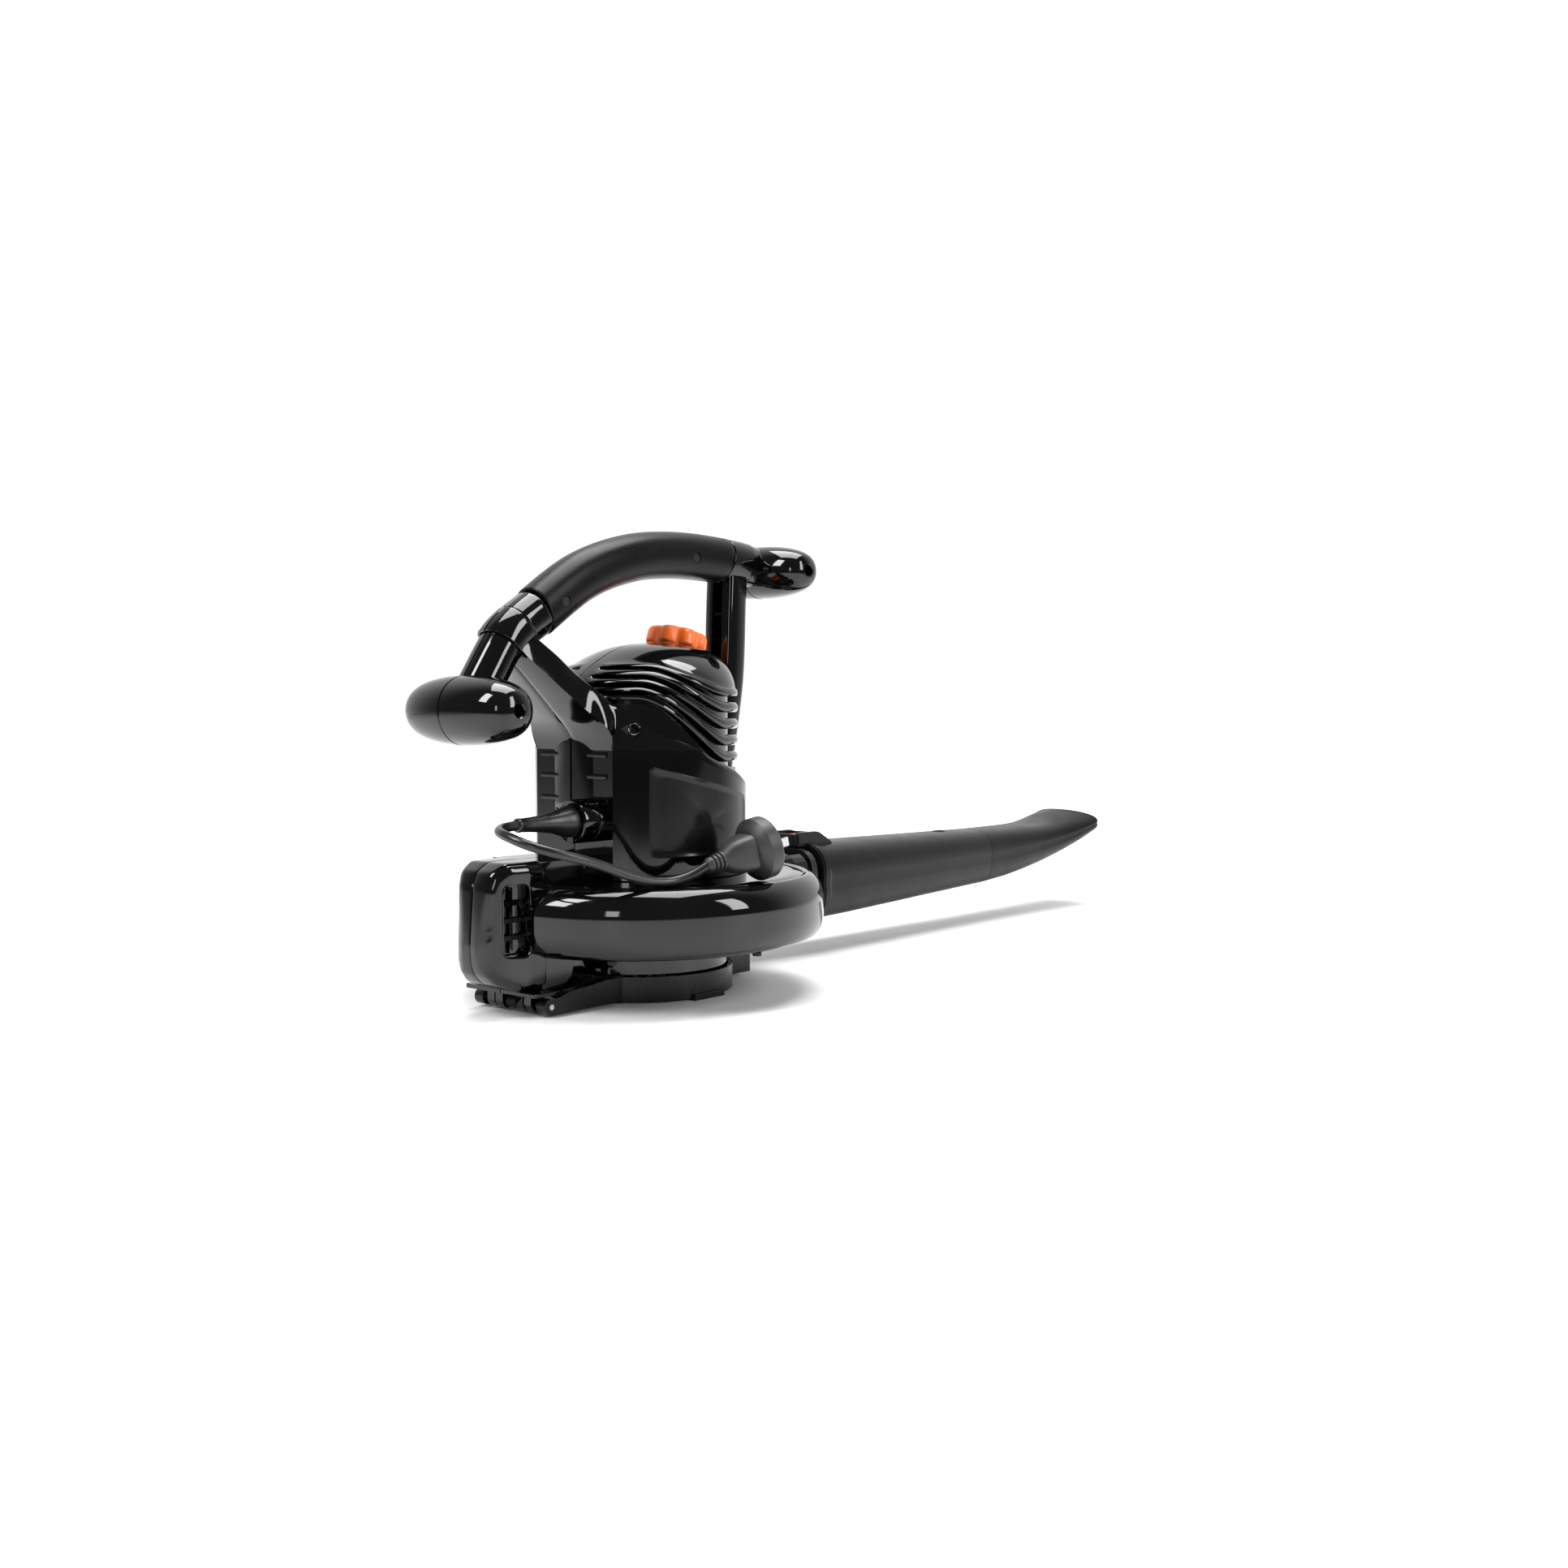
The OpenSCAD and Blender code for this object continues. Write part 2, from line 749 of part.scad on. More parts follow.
module armature_windings() {
    color(copper) {
        for (z = [stator_z0 - 8, stator_z1])
            translate([0, 0, z])
                difference() {
                    cylinder(r = 21, h = 8);
                    translate([0, 0, -1]) cylinder(r = shaft_r + 1.5, h = 10);
                }
        for (a = [0:30:330]) rotate([0, 0, a])
            translate([18.2, -1.5, stator_z0 - eps]) cube([4.6, 3, stator_z1 - stator_z0 + 2 * eps]);
    }
}

module commutator() {
    color(copper)
        translate([0, 0, commutator_z])
            difference() {
                cylinder(r = 13, h = 16);
                translate([0, 0, -1]) cylinder(r = shaft_r + 1.5, h = 20);
                for (a = [0:20:340]) rotate([0, 0, a])
                    translate([11.5, -0.3, 1]) cube([3, 0.6, 20]);
            }
}

module cooling_fan() {
    color([0.25, 0.25, 0.27])
        translate([0, 0, 107])
            difference() {
                union() {
                    cylinder(r = 40, h = 1.8);
                    cylinder(r = 10, h = 8);
                    for (a = [0:36:324]) rotate([0, 0, a])
                        translate([9, -0.9, 1]) cube([31, 1.8, 8]);
                }
                translate([0, 0, -1]) cylinder(r = shaft_r + 1.5, h = 20);
            }
}

// One impeller blade as a curved strip from radius r0 to r1
function blade_edge(off) = [for (s = [0:5]) let(
    r = 34 + (impeller_r - 35) * s / 5,
    a = -38 * s / 5)
    [(r + 0) * cos(a) - off * sin(a), r * sin(a) + off * cos(a)]];

module impeller() {
    color([0.16, 0.16, 0.17])
        difference() {
            union() {
                translate([0, 0, 83]) cylinder(r = impeller_r, h = 2.4);
                translate([0, 0, 53]) cylinder(r = 14, h = 31);
                for (k = [0:blade_count - 1]) rotate([0, 0, 360 * k / blade_count])
                    translate([0, 0, 51])
                        linear_extrude(height = 33)
                            polygon(concat(blade_edge(1.1), [for (i = [5:-1:0]) blade_edge(-1.1)[i]]));
            }
            translate([0, 0, 40]) cylinder(r = shaft_r, h = 60);
        }
}

module impeller_nut() {
    color(steel)
        difference() {
            translate([0, 0, 48]) cylinder(r = 6.5, h = 5, $fn = 6);
            translate([0, 0, 40]) cylinder(r = shaft_r, h = 20);
        }
}

// ---------------------------------------------------------------- switch and wiring

module switch_body() {
    color([0.2, 0.2, 0.22])
        translate(knob_at) rotate([0, knob_tilt, 0])
            difference() {
                translate([-15, -12, -32]) cube([30, 24, 20]);
                translate([0, 0, -28]) cylinder(r = spindle_r + 0.05, h = 30);
            }
}

module knob_spindle() {
    color(steel)
        translate(knob_at) rotate([0, knob_tilt, 0])
            translate([0, 0, -27]) cylinder(r = spindle_r, h = 33);
}

module speed_knob() {
    color(orange)
        translate(knob_at) rotate([0, knob_tilt, 0])
            difference() {
                rotate_extrude()
                    polygon([[0, 0], [knob_r, 0], [knob_r, 2.5], [knob_r - 1, 6], [knob_r - 4, knob_h - 2],
                        [knob_r - 7, knob_h], [0, knob_h]]);
                for (k = [0:scallop_count - 1]) rotate([0, 0, 360 * (k + 0.5) / scallop_count])
                    translate([knob_r + 3.5, 0, 3]) cylinder(r = 7, h = 20);
                translate([0, 0, -1]) cylinder(r = spindle_r, h = 7);
            }
}

module control_board() {
    color([0.1, 0.35, 0.2]) {
        translate([-50, -24, 216]) cube([56, 48, 1.6]);
        translate([-20, 6, 217.6]) cube([16, 12, 6]);
        translate([-8, -18, 217.6]) cube([10, 9, 4]);
    }
}

module capacitor() {
    color([0.75, 0.6, 0.15])
        translate([-36, -6, 217.6]) cylinder(r = 8, h = 18);
}

module internal_leads() {
    color([0.1, 0.1, 0.1])
        for (s = [0, 1])
            sweep([[-59, -22 + 4 * s, 135], [-57, -22 + 4 * s, 139], [-56, -22 + 4 * s, 154],
                [-55, -22 + 4 * s, 184], [-52, -20 + 4 * s, 204], [-48, -18 + 4 * s, 215]], 1.5, 8);
}

module cord_clamp() {
    color(soft_black)
        difference() {
            translate([-67, -32, 126]) cube([7, 24, 18]);
            x_rod([-80, cord_exit[1], cord_exit[2]], cord_d / 2, 20);
            for (y = [-29, -11])
                x_rod([-80, y, 135], 1.5, 20);
        }
}

module cord_collar() {
    color(gloss_black)
        difference() {
            x_rod([-92, cord_exit[1], cord_exit[2]], 16, 92 + housing_flat_x - 0.1);
            x_rod([-93, cord_exit[1], cord_exit[2]], 8, 30);
            x_rod([-93, cord_exit[1], cord_exit[2]], 13.5, 2.2);
            translate([-93, -35, cord_exit[2] - 12]) cube([4, 4, 5]);
        }
}

module strain_relief() {
    color(soft_black)
        difference() {
            union() {
                translate(cord_exit) rotate([0, 90, 0])
                    cylinder(r1 = 5.2, r2 = 11.5, h = 52.2);
                x_rod([-90.8, cord_exit[1], cord_exit[2]], 7.9, 23);
            }
            x_rod([-75, cord_exit[1], cord_exit[2]], cord_d / 2, 10);
        }
}

module cord() {
    color(soft_black) sweep(cord_route, cord_d / 2, 10);
}

// Places its children on the plug's axis, which runs along +X from the cord's end
module on_plug() {
    translate(plug_at) rotate([0, 0, plug_yaw]) rotate([0, -plug_pitch, 0]) children();
}

module plug_body() {
    color(soft_black)
        on_plug() {
            rotate([0, 90, 0]) cylinder(r1 = 4.6, r2 = 8, h = 22);
            for (x = [4:4:20])
                x_rod([x, 0, 0], 6.2 + x / 9, 1.8);
            loft([for (q = [[21, 9.5, 0], [36, 13.5, 2.5]])
                ring([q[0], 0, q[2]], [0, 1, 0], [0, 0, 1], 12.3, q[1], 0.3, 20)]);
        }
}

module plug_flange() {
    color([0.3, 0.3, 0.31])
        on_plug()
            translate([36, 0, 0]) rotate([0, 90, 0])
                rotate_extrude()
                    polygon([[0, 0], [20.5, 0], [23, 2.5], [23, 15], [21.5, 17], [0, 17]]);
}

module plug_blades() {
    color(steel)
        on_plug()
            for (s = [-1, 1])
                translate([53, s * 6.35 - 0.75, -3.2]) cube([16, 1.5, 6.4]);
}

module interlock_switch() {
    color([0.7, 0.1, 0.1])
        difference() {
            translate([79.5, -8, 33.4]) cube([15, 16, 5.4]);
            translate([87, 0, 30]) cylinder(r = 1.8, h = 7);
        }
}

module interlock_plunger() {
    color([0.85, 0.85, 0.85])
        translate([87, 0, 24.4]) cylinder(r = 1.5, h = 10);
}

module label_plate() {
    color([0.22, 0.22, 0.23])
        difference() {
            rotate([0, 0, 232]) rotate_extrude(angle = 66)
                translate([housing_r + 0.12, 108]) square([0.5, 70]);
            translate([-60, -150, 174]) rotate([0, 15, 0]) cube([200, 200, 60]);
        }
}

// ---------------------------------------------------------------- screws

module housing_screws() {
    color(steel)
        for (s = [-1, 1], q = housing_screw_at)
            translate([q[0], s * q[1], q[2]]) rotate([-90 * s, 0, 0]) screw(3.4, 1.6, 9);
}

module handle_screws() {
    color(steel) {
        for (s = [-1, 1], p = grip_screw_at)
            translate([p[0], s * core_r, p[1]]) rotate([-90 * s, 0, 0]) screw(3.6, 1.6, 10);
        for (s = [-1, 1], q = bar_screw_at)
            translate([q[0], s * q[1], q[2]]) rotate([-90 * s, 0, 0]) screw(3.6, 1.6, 11);
    }
}

module casing_screws() {
    color(steel)
        for (s = casing_screw_at) rotate([0, 0, s[0]])
            translate([s[1], 0, casing_z0]) rotate([180, 0, 0]) screw(3.4, 1.6, 10);
}

module frame_screws() {
    color(steel)
        for (s = [-1, 1], z = [34, 101])
            translate([-146, s * 16, z]) rotate([-90 * s, 0, 0]) screw(3, 1.5, 12);
}

// ---------------------------------------------------------------- intake cover

module intake_cover() {
    color(soft_black)
        difference() {
            union() {
                rotate_extrude()
                    polygon([[59, 2], [64, 1.5], [70, 1.5], [70, 19.5], [66.8, 19.5], [66.8, 6], [59, 6]]);
                for (r = [26, 38, 50])
                    rotate_extrude()
                        translate([r - 1.2, 2.2]) square([2.4, 3.6]);
                for (a = [0:30:330]) rotate([0, 0, a])
                    translate([8, -1.2, 2.6]) cube([53, 2.4, 3]);
                cylinder(r = 12, h = 6.2);
                for (a = [90, 270]) rotate([0, 0, a])
                    translate([63, -16, 0]) cube([8.4, 32, 4.8]);
                translate([67.5, -27, 3.5])
                    difference() {
                        cube([28.5, 54, 20]);
                        translate([3, 11, 3.2]) cube([40, 32, 13.6]);
                    }
                for (s = [-1, 1]) {
                    rotate([90, 0, 0]) translate([0, 0, s > 0 ? -arm_y1 : arm_y0])
                        linear_extrude(height = arm_y1 - arm_y0)
                            polygon([[hinge_x, 2], [hinge_x, 13], [-121, 13], [-110, 16], [-74, 19.5],
                                [-54, 19], [-54, 2.4], [-112, 2]]);
                    y_rod([hinge_x, s > 0 ? arm_y0 : -arm_y1, hinge_z], 5.8, arm_y1 - arm_y0, 1);
                }
            }
            translate([0, 0, 6.2]) cylinder(r = 66.8, h = 30);
            y_rod([hinge_x, -50, hinge_z], pin_r + 0.05, 100, 1);
        }
}

// Spring catch in the front block of the cover
module cover_latch() {
    color(soft_black) {
        translate([82, -15.6, 7.1]) cube([15, 31.2, 12.8]);
        translate([96, -9, 10]) cube([4, 18, 6]);
    }
}

module latch_spring() {
    color(steel)
        translate([70.8, 0, 13.5]) rotate([0, 90, 0])
            coils(4, 2, 2.5, 4.3);
}

// ---------------------------------------------------------------- blower tube and nozzle

module duct(rings, grow, stretch0, stretch1) {
    last = len(rings) - 1;
    loft([for (i = [0:last]) let(q = rings[i])
        ring([q[0] - (i == 0 ? stretch0 : 0) + (i == last ? stretch1 : 0), tube_y, q[1]],
            [0, 1, 0], [0, 0, 1], q[2] + grow, q[3] + grow, 0.55, 28)]);
}

module spigot_ring_solid(x0, x1, half_w, half_h, zc) {
    loft([for (x = [x0, x1]) ring([x, tube_y, zc], [0, 1, 0], [0, 0, 1], half_w, half_h, 0.55, 28)]);
}

button_at = [222, tube_y, 100];

module blower_tube() {
    color(tube_grey)
        difference() {
            union() {
                duct(tube_rings, 0, 0, 0);
                spigot_ring_solid(tube_x0, tube_x0 + 5, 38, 35.5, tube_z);
                spigot_ring_solid(seam_x - 5, seam_x + spigot_len, 28.6, 24.9, seam_z);
                translate([206, tube_y - 20, 94])
                    rotate([90, 0, 90])
                        linear_extrude(height = 60)
                            polygon([[0, 0], [1.5, 12.6], [5, 15.6], [35, 15.6], [38.5, 12.6], [40, 0]]);
                translate([262, tube_y, 92])
                    rotate([90, 0, 0])
                        linear_extrude(height = 36, center = true)
                            polygon([[0, 0], [18, 0], [16, 6], [5, 17.4], [0, 17.4]]);
            }
            duct(tube_rings, -2.6, 60, 0);
            spigot_ring_solid(tube_x0 - 5, 264, 33 + slip, 29.5 + slip, tube_z);
            spigot_ring_solid(seam_x - 40, seam_x + spigot_len + 5, 26.2, 22.5, seam_z);
            translate(button_at - [9, 9, 0]) cube([18, 18, 20]);
            translate([300, tube_y - 12, 94]) cube([150, 24, 8]);
            translate([470, tube_y, 91]) cylinder(r = 6, h = 10);
        }
}

module tube_button() {
    color(orange)
        difference() {
            translate(button_at + [-8.6, -8.6, 4]) cube([17.2, 17.2, 7.5]);
            translate(button_at + [0, 0, 2]) cylinder(r = 5, h = 5);
        }
}

module button_spring() {
    color(steel)
        translate(button_at + [0, 0, 0.1]) coils(2, 1.8, 2.8, 4.4);
}

module nozzle() {
    color(tube_grey)
        difference() {
            duct(nozzle_rings, 0, 0, 0);
            duct(nozzle_rings, -2, 4, 10);
            spigot_ring_solid(seam_x - 5, seam_x + spigot_len + 2, 28.6 + slip, 24.9 + slip, seam_z);
            translate([tip_x - 14, -50, 60]) rotate([0, 35, 0]) translate([0, 0, -60]) cube([60, 160, 90]);
        }
}

// ---------------------------------------------------------------- drawing

housing_left();
housing_right();
vent_cap_left();
vent_cap_right();
handle_left();
handle_right();
grip_left();
grip_right();
front_strut_left();
front_strut_right();
volute_upper();
volute_lower();
hinge_frame_left();
hinge_frame_right();
outlet_gasket();
stator_core();
field_coils();
brush_holders();
carbon_brushes();
upper_bearing();
lower_bearing();
upper_bracket();
motor_bracket();
switch_body();
capacitor();
control_board();
internal_leads();
cord_collar();
strain_relief();
cord_clamp();
cord();
plug_body();
plug_flange();
plug_blades();
hinge_pin();
hinge_spring();
interlock_switch();
housing_screws();
handle_screws();
casing_screws();
frame_screws();
label_plate();
motor_shaft();
armature_core();
armature_windings();
commutator();
cooling_fan();
impeller();
impeller_nut();
speed_knob();
knob_spindle();
intake_cover();
cover_latch();
latch_spring();
blower_tube();
tube_button();
button_spring();
nozzle();
interlock_plunger();
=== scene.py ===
"""Electric leaf blower with a free cord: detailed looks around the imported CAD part.
Lengths are written in millimetres, in the CAD frame, and scaled to metres as each mesh is made."""
import json
import math
import bmesh
import bpy
import numpy as np
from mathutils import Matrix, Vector


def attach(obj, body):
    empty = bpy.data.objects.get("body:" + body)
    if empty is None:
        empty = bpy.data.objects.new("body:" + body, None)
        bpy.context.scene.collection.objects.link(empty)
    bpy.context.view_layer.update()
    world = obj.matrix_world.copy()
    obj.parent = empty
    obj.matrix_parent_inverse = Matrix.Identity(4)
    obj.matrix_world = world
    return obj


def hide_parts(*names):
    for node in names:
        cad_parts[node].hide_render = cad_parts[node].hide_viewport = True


MM = 0.001
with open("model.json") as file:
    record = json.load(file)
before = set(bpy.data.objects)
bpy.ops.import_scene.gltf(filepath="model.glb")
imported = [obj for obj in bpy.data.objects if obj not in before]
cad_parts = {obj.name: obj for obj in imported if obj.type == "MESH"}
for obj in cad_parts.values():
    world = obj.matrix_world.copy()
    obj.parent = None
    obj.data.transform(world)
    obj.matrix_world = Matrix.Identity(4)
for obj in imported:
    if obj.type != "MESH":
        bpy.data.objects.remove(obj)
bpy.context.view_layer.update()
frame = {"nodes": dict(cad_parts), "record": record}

# ---------------------------------------------------------------- camera
CAMERA_AT = (-0.8868, -0.8877, 0.221)
CAMERA_TURN = (87.11, 0, -50)

camera_data = bpy.data.cameras.new("camera")
camera_data.sensor_width = 36
camera_data.lens = 37.27
camera = bpy.data.objects.new("camera", camera_data)
bpy.context.scene.collection.objects.link(camera)
camera.location = CAMERA_AT
camera.rotation_euler = [math.radians(turn) for turn in CAMERA_TURN]
bpy.context.scene.camera = camera

# ---------------------------------------------------------------- materials
BUMP_DEPTH = 0.00048
SPECK_COLOUR = (0.42, 0.41, 0.39)
FILM_COLOUR = (0.5, 0.49, 0.46)


def material(name, colour, rough, tone=0.08, grain=1400, bump=0.1, metallic=0.0,
             specular=0.5, dust=0.0, wear=0.12, scratch=0.05):
    """Procedural finish: broad tone, fine grain, faint scratches, uneven roughness and dust specks."""
    look = bpy.data.materials.new(name)
    look.use_nodes = True
    nodes, links = look.node_tree.nodes, look.node_tree.links
    shader = nodes["Principled BSDF"]
    place = nodes.new("ShaderNodeTexCoord").outputs["Object"]

    def noise(scale, detail, stretch=None):
        n = nodes.new("ShaderNodeTexNoise")
        n.inputs["Scale"].default_value = scale
        n.inputs["Detail"].default_value = detail
        source = place
        if stretch:
            mapping = nodes.new("ShaderNodeMapping")
            mapping.inputs["Scale"].default_value = stretch
            mapping.inputs["Rotation"].default_value = (0.3, 0.2, 0.7)
            links.new(place, mapping.inputs["Vector"])
            source = mapping.outputs["Vector"]
        links.new(source, n.inputs["Vector"])
        return n.outputs["Fac"]

    def remap(value, low, high, to_low, to_high):
        n = nodes.new("ShaderNodeMapRange")
        n.inputs["From Min"].default_value = low
        n.inputs["From Max"].default_value = high
        n.inputs["To Min"].default_value = to_low
        n.inputs["To Max"].default_value = to_high
        links.new(value, n.inputs["Value"])
        return n.outputs["Result"]

    def fill(socket, value):
        """A constant goes into the socket itself, anything else is linked to it."""
        if isinstance(value, tuple):
            socket.default_value = (*value, 1)
        elif isinstance(value, (int, float)):
            socket.default_value = value
        else:
            links.new(value, socket)

    def mix(share, a, b):
        n = nodes.new("ShaderNodeMix")
        n.data_type = "RGBA"
        fill(n.inputs[0], share)
        fill(n.inputs[6], a)
        fill(n.inputs[7], b)
        return n.outputs[2]

    def maths(operation, *values):
        n = nodes.new("ShaderNodeMath")
        n.operation = operation
        for socket, value in zip(n.inputs, values):
            fill(socket, value)
        return n.outputs[0]

    dark = tuple(c * (1 - tone) for c in colour)
    light = tuple(min(1, c * (1 + tone)) for c in colour)
    pale = tuple(min(1, c * 1.3 + 0.01) for c in colour)
    broad = remap(noise(14, 4), 0.35, 0.65, 0, 1)
    base = mix(broad, dark, light)
    fine = noise(grain, 3)
    base = mix(remap(fine, 0.3, 0.7, 0, 0.5 * tone), base, pale)
    scratches = remap(noise(160, 3, (1, 14, 14)), 0.62, 0.8, 0, 1)
    smudge = remap(noise(55, 5), 0.3, 0.7, -wear, wear)
    roughness = maths("MULTIPLY_ADD", scratches, scratch, maths("ADD", smudge, rough))
    if dust:
        specks = remap(noise(1500, 2), 0.80 - 0.06 * dust, 0.86 - 0.06 * dust, 0, 0.55)
        base = mix(specks, base, SPECK_COLOUR)
        film = remap(noise(30, 6), 0.5, 0.8, 0, 0.02 * dust)
        base = mix(film, base, FILM_COLOUR)
        roughness = maths("ADD", roughness, specks)
    links.new(base, shader.inputs["Base Color"])
    links.new(roughness, shader.inputs["Roughness"])
    shader.inputs["Metallic"].default_value = metallic
    shader.inputs["Specular IOR Level"].default_value = specular
    height = maths("MULTIPLY_ADD", scratches, -0.4, fine)
    relief = nodes.new("ShaderNodeBump")
    relief.inputs["Strength"].default_value = bump
    relief.inputs["Distance"].default_value = BUMP_DEPTH
    links.new(height, relief.inputs["Height"])
    links.new(relief.outputs["Normal"], shader.inputs["Normal"])
    return look


FINISHES = {
    "gloss_black": dict(colour=(0.0012, 0.0012, 0.0017), rough=0.05, specular=0.46,
                        bump=0.012, dust=0.1, wear=0.02),
    "soft_grip": dict(colour=(0.0025, 0.0025, 0.0033), rough=0.3, specular=0.15,
                      grain=3200, bump=0.14, dust=0.05, wear=0.04),
    "tube_plastic": dict(colour=(0.0055, 0.005, 0.0058), rough=0.34, specular=0.2,
                         grain=2600, bump=0.18, dust=0.1, wear=0.05),
    "cover_plastic": dict(colour=(0.003, 0.003, 0.0036), rough=0.28, specular=0.3,
                          grain=2200, bump=0.13, dust=0.08, wear=0.05),
    "orange_plastic": dict(colour=(1.0, 0.17, 0.022), rough=0.34, grain=1600, bump=0.12),
    "cord_rubber": dict(colour=(0.006, 0.006, 0.0065), rough=0.3,
                        grain=1800, bump=0.15, dust=0.1, wear=0.06),
    "plug_plastic": dict(colour=(0.016, 0.0165, 0.018), rough=0.42,
                         grain=2200, bump=0.2, dust=0.1, wear=0.06),
    "label": dict(colour=(0.004, 0.004, 0.005), rough=0.2, specular=0.3,
                  tone=0.15, grain=1800, bump=0.05, dust=0.08, wear=0.04),
    # Painted shade: zinc gets a nearly black colour, so the screws deep in their holes look dark
    "zinc": dict(colour=(0.02, 0.02, 0.021), rough=0.45, metallic=0.7, bump=0.2, scratch=0.2),
    "steel": dict(colour=(0.55, 0.55, 0.56), rough=0.28, metallic=1, bump=0.2, scratch=0.25),
    "laminations": dict(colour=(0.24, 0.23, 0.22), rough=0.5, metallic=0.8, grain=700, bump=0.3),
    "copper": dict(colour=(0.72, 0.3, 0.13), rough=0.35, metallic=1, grain=500, bump=0.3),
    "bracket": dict(colour=(0.4, 0.4, 0.41), rough=0.42, metallic=0.9, bump=0.25),
    "carbon": dict(colour=(0.03, 0.03, 0.03), rough=0.55, grain=1000, bump=0.3),
    "board": dict(colour=(0.02, 0.13, 0.06), rough=0.45, grain=800, bump=0.2),
    "brown_plastic": dict(colour=(0.14, 0.06, 0.03), rough=0.45, bump=0.2),
    "white_plastic": dict(colour=(0.75, 0.74, 0.7), rough=0.45, bump=0.2),
}
LOOKS = {slot: material(slot + "_look", **finish) for slot, finish in FINISHES.items()}
for part in frame["record"]["subparts"]:
    node = frame["nodes"][part["node"]]
    node.data.materials.clear()
    node.data.materials.append(LOOKS[part["material_slot"]])


# ---------------------------------------------------------------- mesh helpers
MERGE = 0.00004          # points closer than this, in metres, become one
SLIVER = 0.00002
CORNERS = ((-1, -1), (1, -1), (1, 1), (-1, 1))


def smoothstep(x):
    x = min(1.0, max(0.0, x))
    return x * x * (3 - 2 * x)


def polar(r, degrees):
    return r * math.cos(math.radians(degrees)), r * math.sin(math.radians(degrees))


def signed_power(x, power):
    return math.copysign(abs(x) ** power, x)


def side_name(mirror):
    return "right" if mirror else "left"


def through(points, steps):
    """Points on a smooth curve through the given ones (Catmull-Rom)."""
    p = np.array(points, float)
    p = np.vstack([2 * p[0] - p[1], p, 2 * p[-1] - p[-2]])
    found = []
    for i in range(1, len(p) - 2):
        for t in np.linspace(0, 1, steps, endpoint=False):
            found.append(0.5 * (2 * p[i] + (p[i + 1] - p[i - 1]) * t
                         + (2 * p[i - 1] - 5 * p[i] + 4 * p[i + 1] - p[i + 2]) * t ** 2
                         + (3 * p[i] - p[i - 1] - 3 * p[i + 1] + p[i + 2]) * t ** 3))
    found.append(p[-2])
    return np.array(found)


def ring(centre, u, v, a, b, power=1.0, steps=48):
    """Points round a superellipse in the plane of u and v."""
    angles = np.radians(np.linspace(0, 360, steps, endpoint=False))
    c, s = np.cos(angles), np.sin(angles)
    c = np.sign(c) * np.abs(c) ** power
    s = np.sign(s) * np.abs(s) ** power
    return np.array(centre) + np.outer(a * c, u) + np.outer(b * s, v)


class Skin:
    """Collects grids of points, in millimetres, into one mesh."""

    def __init__(self):
        self.points = []
        self.faces = []

    def grid(self, rows, closed=False, ends=False):
        """Rows of points joined into faces: closed joins each row's ends, ends caps both outer rows."""
        rows = np.array(rows, float)
        count, width = rows.shape[:2]
        base = len(self.points)
        self.points += [tuple(p) for p in rows.reshape(-1, 3)]
        for i in range(count - 1):
            for j in range(width if closed else width - 1):
                k = (j + 1) % width
                a, b = base + i * width, base + (i + 1) * width
                self.faces.append((a + j, a + k, b + k, b + j))
        if ends:
            self.faces.append(tuple(base + j for j in reversed(range(width))))
            self.faces.append(tuple(base + (count - 1) * width + j for j in range(width)))
        return self

    def lathe(self, origin, axis, profile, steps=64):
        """Solid turned round an axis: profile is (distance along the axis, radius)."""
        w = np.array(axis, float) / np.linalg.norm(axis)
        u = np.cross(w, (0, 0, 1) if abs(w[2]) < 0.9 else (1, 0, 0))
        u /= np.linalg.norm(u)
        v = np.cross(w, u)
        rows = [ring(np.array(origin) + w * d, u, v, r, r, steps=steps) for d, r in profile]
        return self.grid(rows, closed=True, ends=True)

    def slab(self, outline, low, high):
        """Prism over an outline of (x, z) points, from y = low to y = high."""
        return self.grid([[(x, y, z) for x, z in outline] for y in (low, high)], closed=True, ends=True)

    def make(self, name, body, slot, nodes=(), mirror=False, wall=0, edge=35, bevel=0):
        """Turns the collected grids into a piece, which stands for the CAD nodes named in nodes."""
        points = np.array(self.points) * MM
        faces = self.faces
        if mirror:
            points = points * np.array([1, -1, 1])
            faces = [tuple(reversed(f)) for f in faces]
        mesh = bpy.data.meshes.new(name)
        mesh.from_pydata([tuple(p) for p in points], [], faces)
        bm = bmesh.new()
        bm.from_mesh(mesh)
        bmesh.ops.remove_doubles(bm, verts=bm.verts, dist=MERGE)
        bmesh.ops.dissolve_degenerate(bm, edges=bm.edges, dist=SLIVER)
        bmesh.ops.recalc_face_normals(bm, faces=bm.faces)
        bm.to_mesh(mesh)
        bm.free()
        piece = bpy.data.objects.new(name, mesh)
        bpy.context.scene.collection.objects.link(piece)
        mesh.materials.append(LOOKS[slot])
        if bevel:
            rounding = piece.modifiers.new("bevel", "BEVEL")
            rounding.width = bevel * MM
            rounding.segments = 3
            rounding.limit_method = "ANGLE"
            rounding.angle_limit = math.radians(30)
        if wall:
            thickness = piece.modifiers.new("wall", "SOLIDIFY")
            thickness.thickness = wall * MM
            thickness.offset = -1
        mesh.set_sharp_from_angle(angle=math.radians(edge))
        for f in mesh.polygons:
            f.use_smooth = True
        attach(piece, body)
        if nodes:
            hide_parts(*nodes)
        return piece


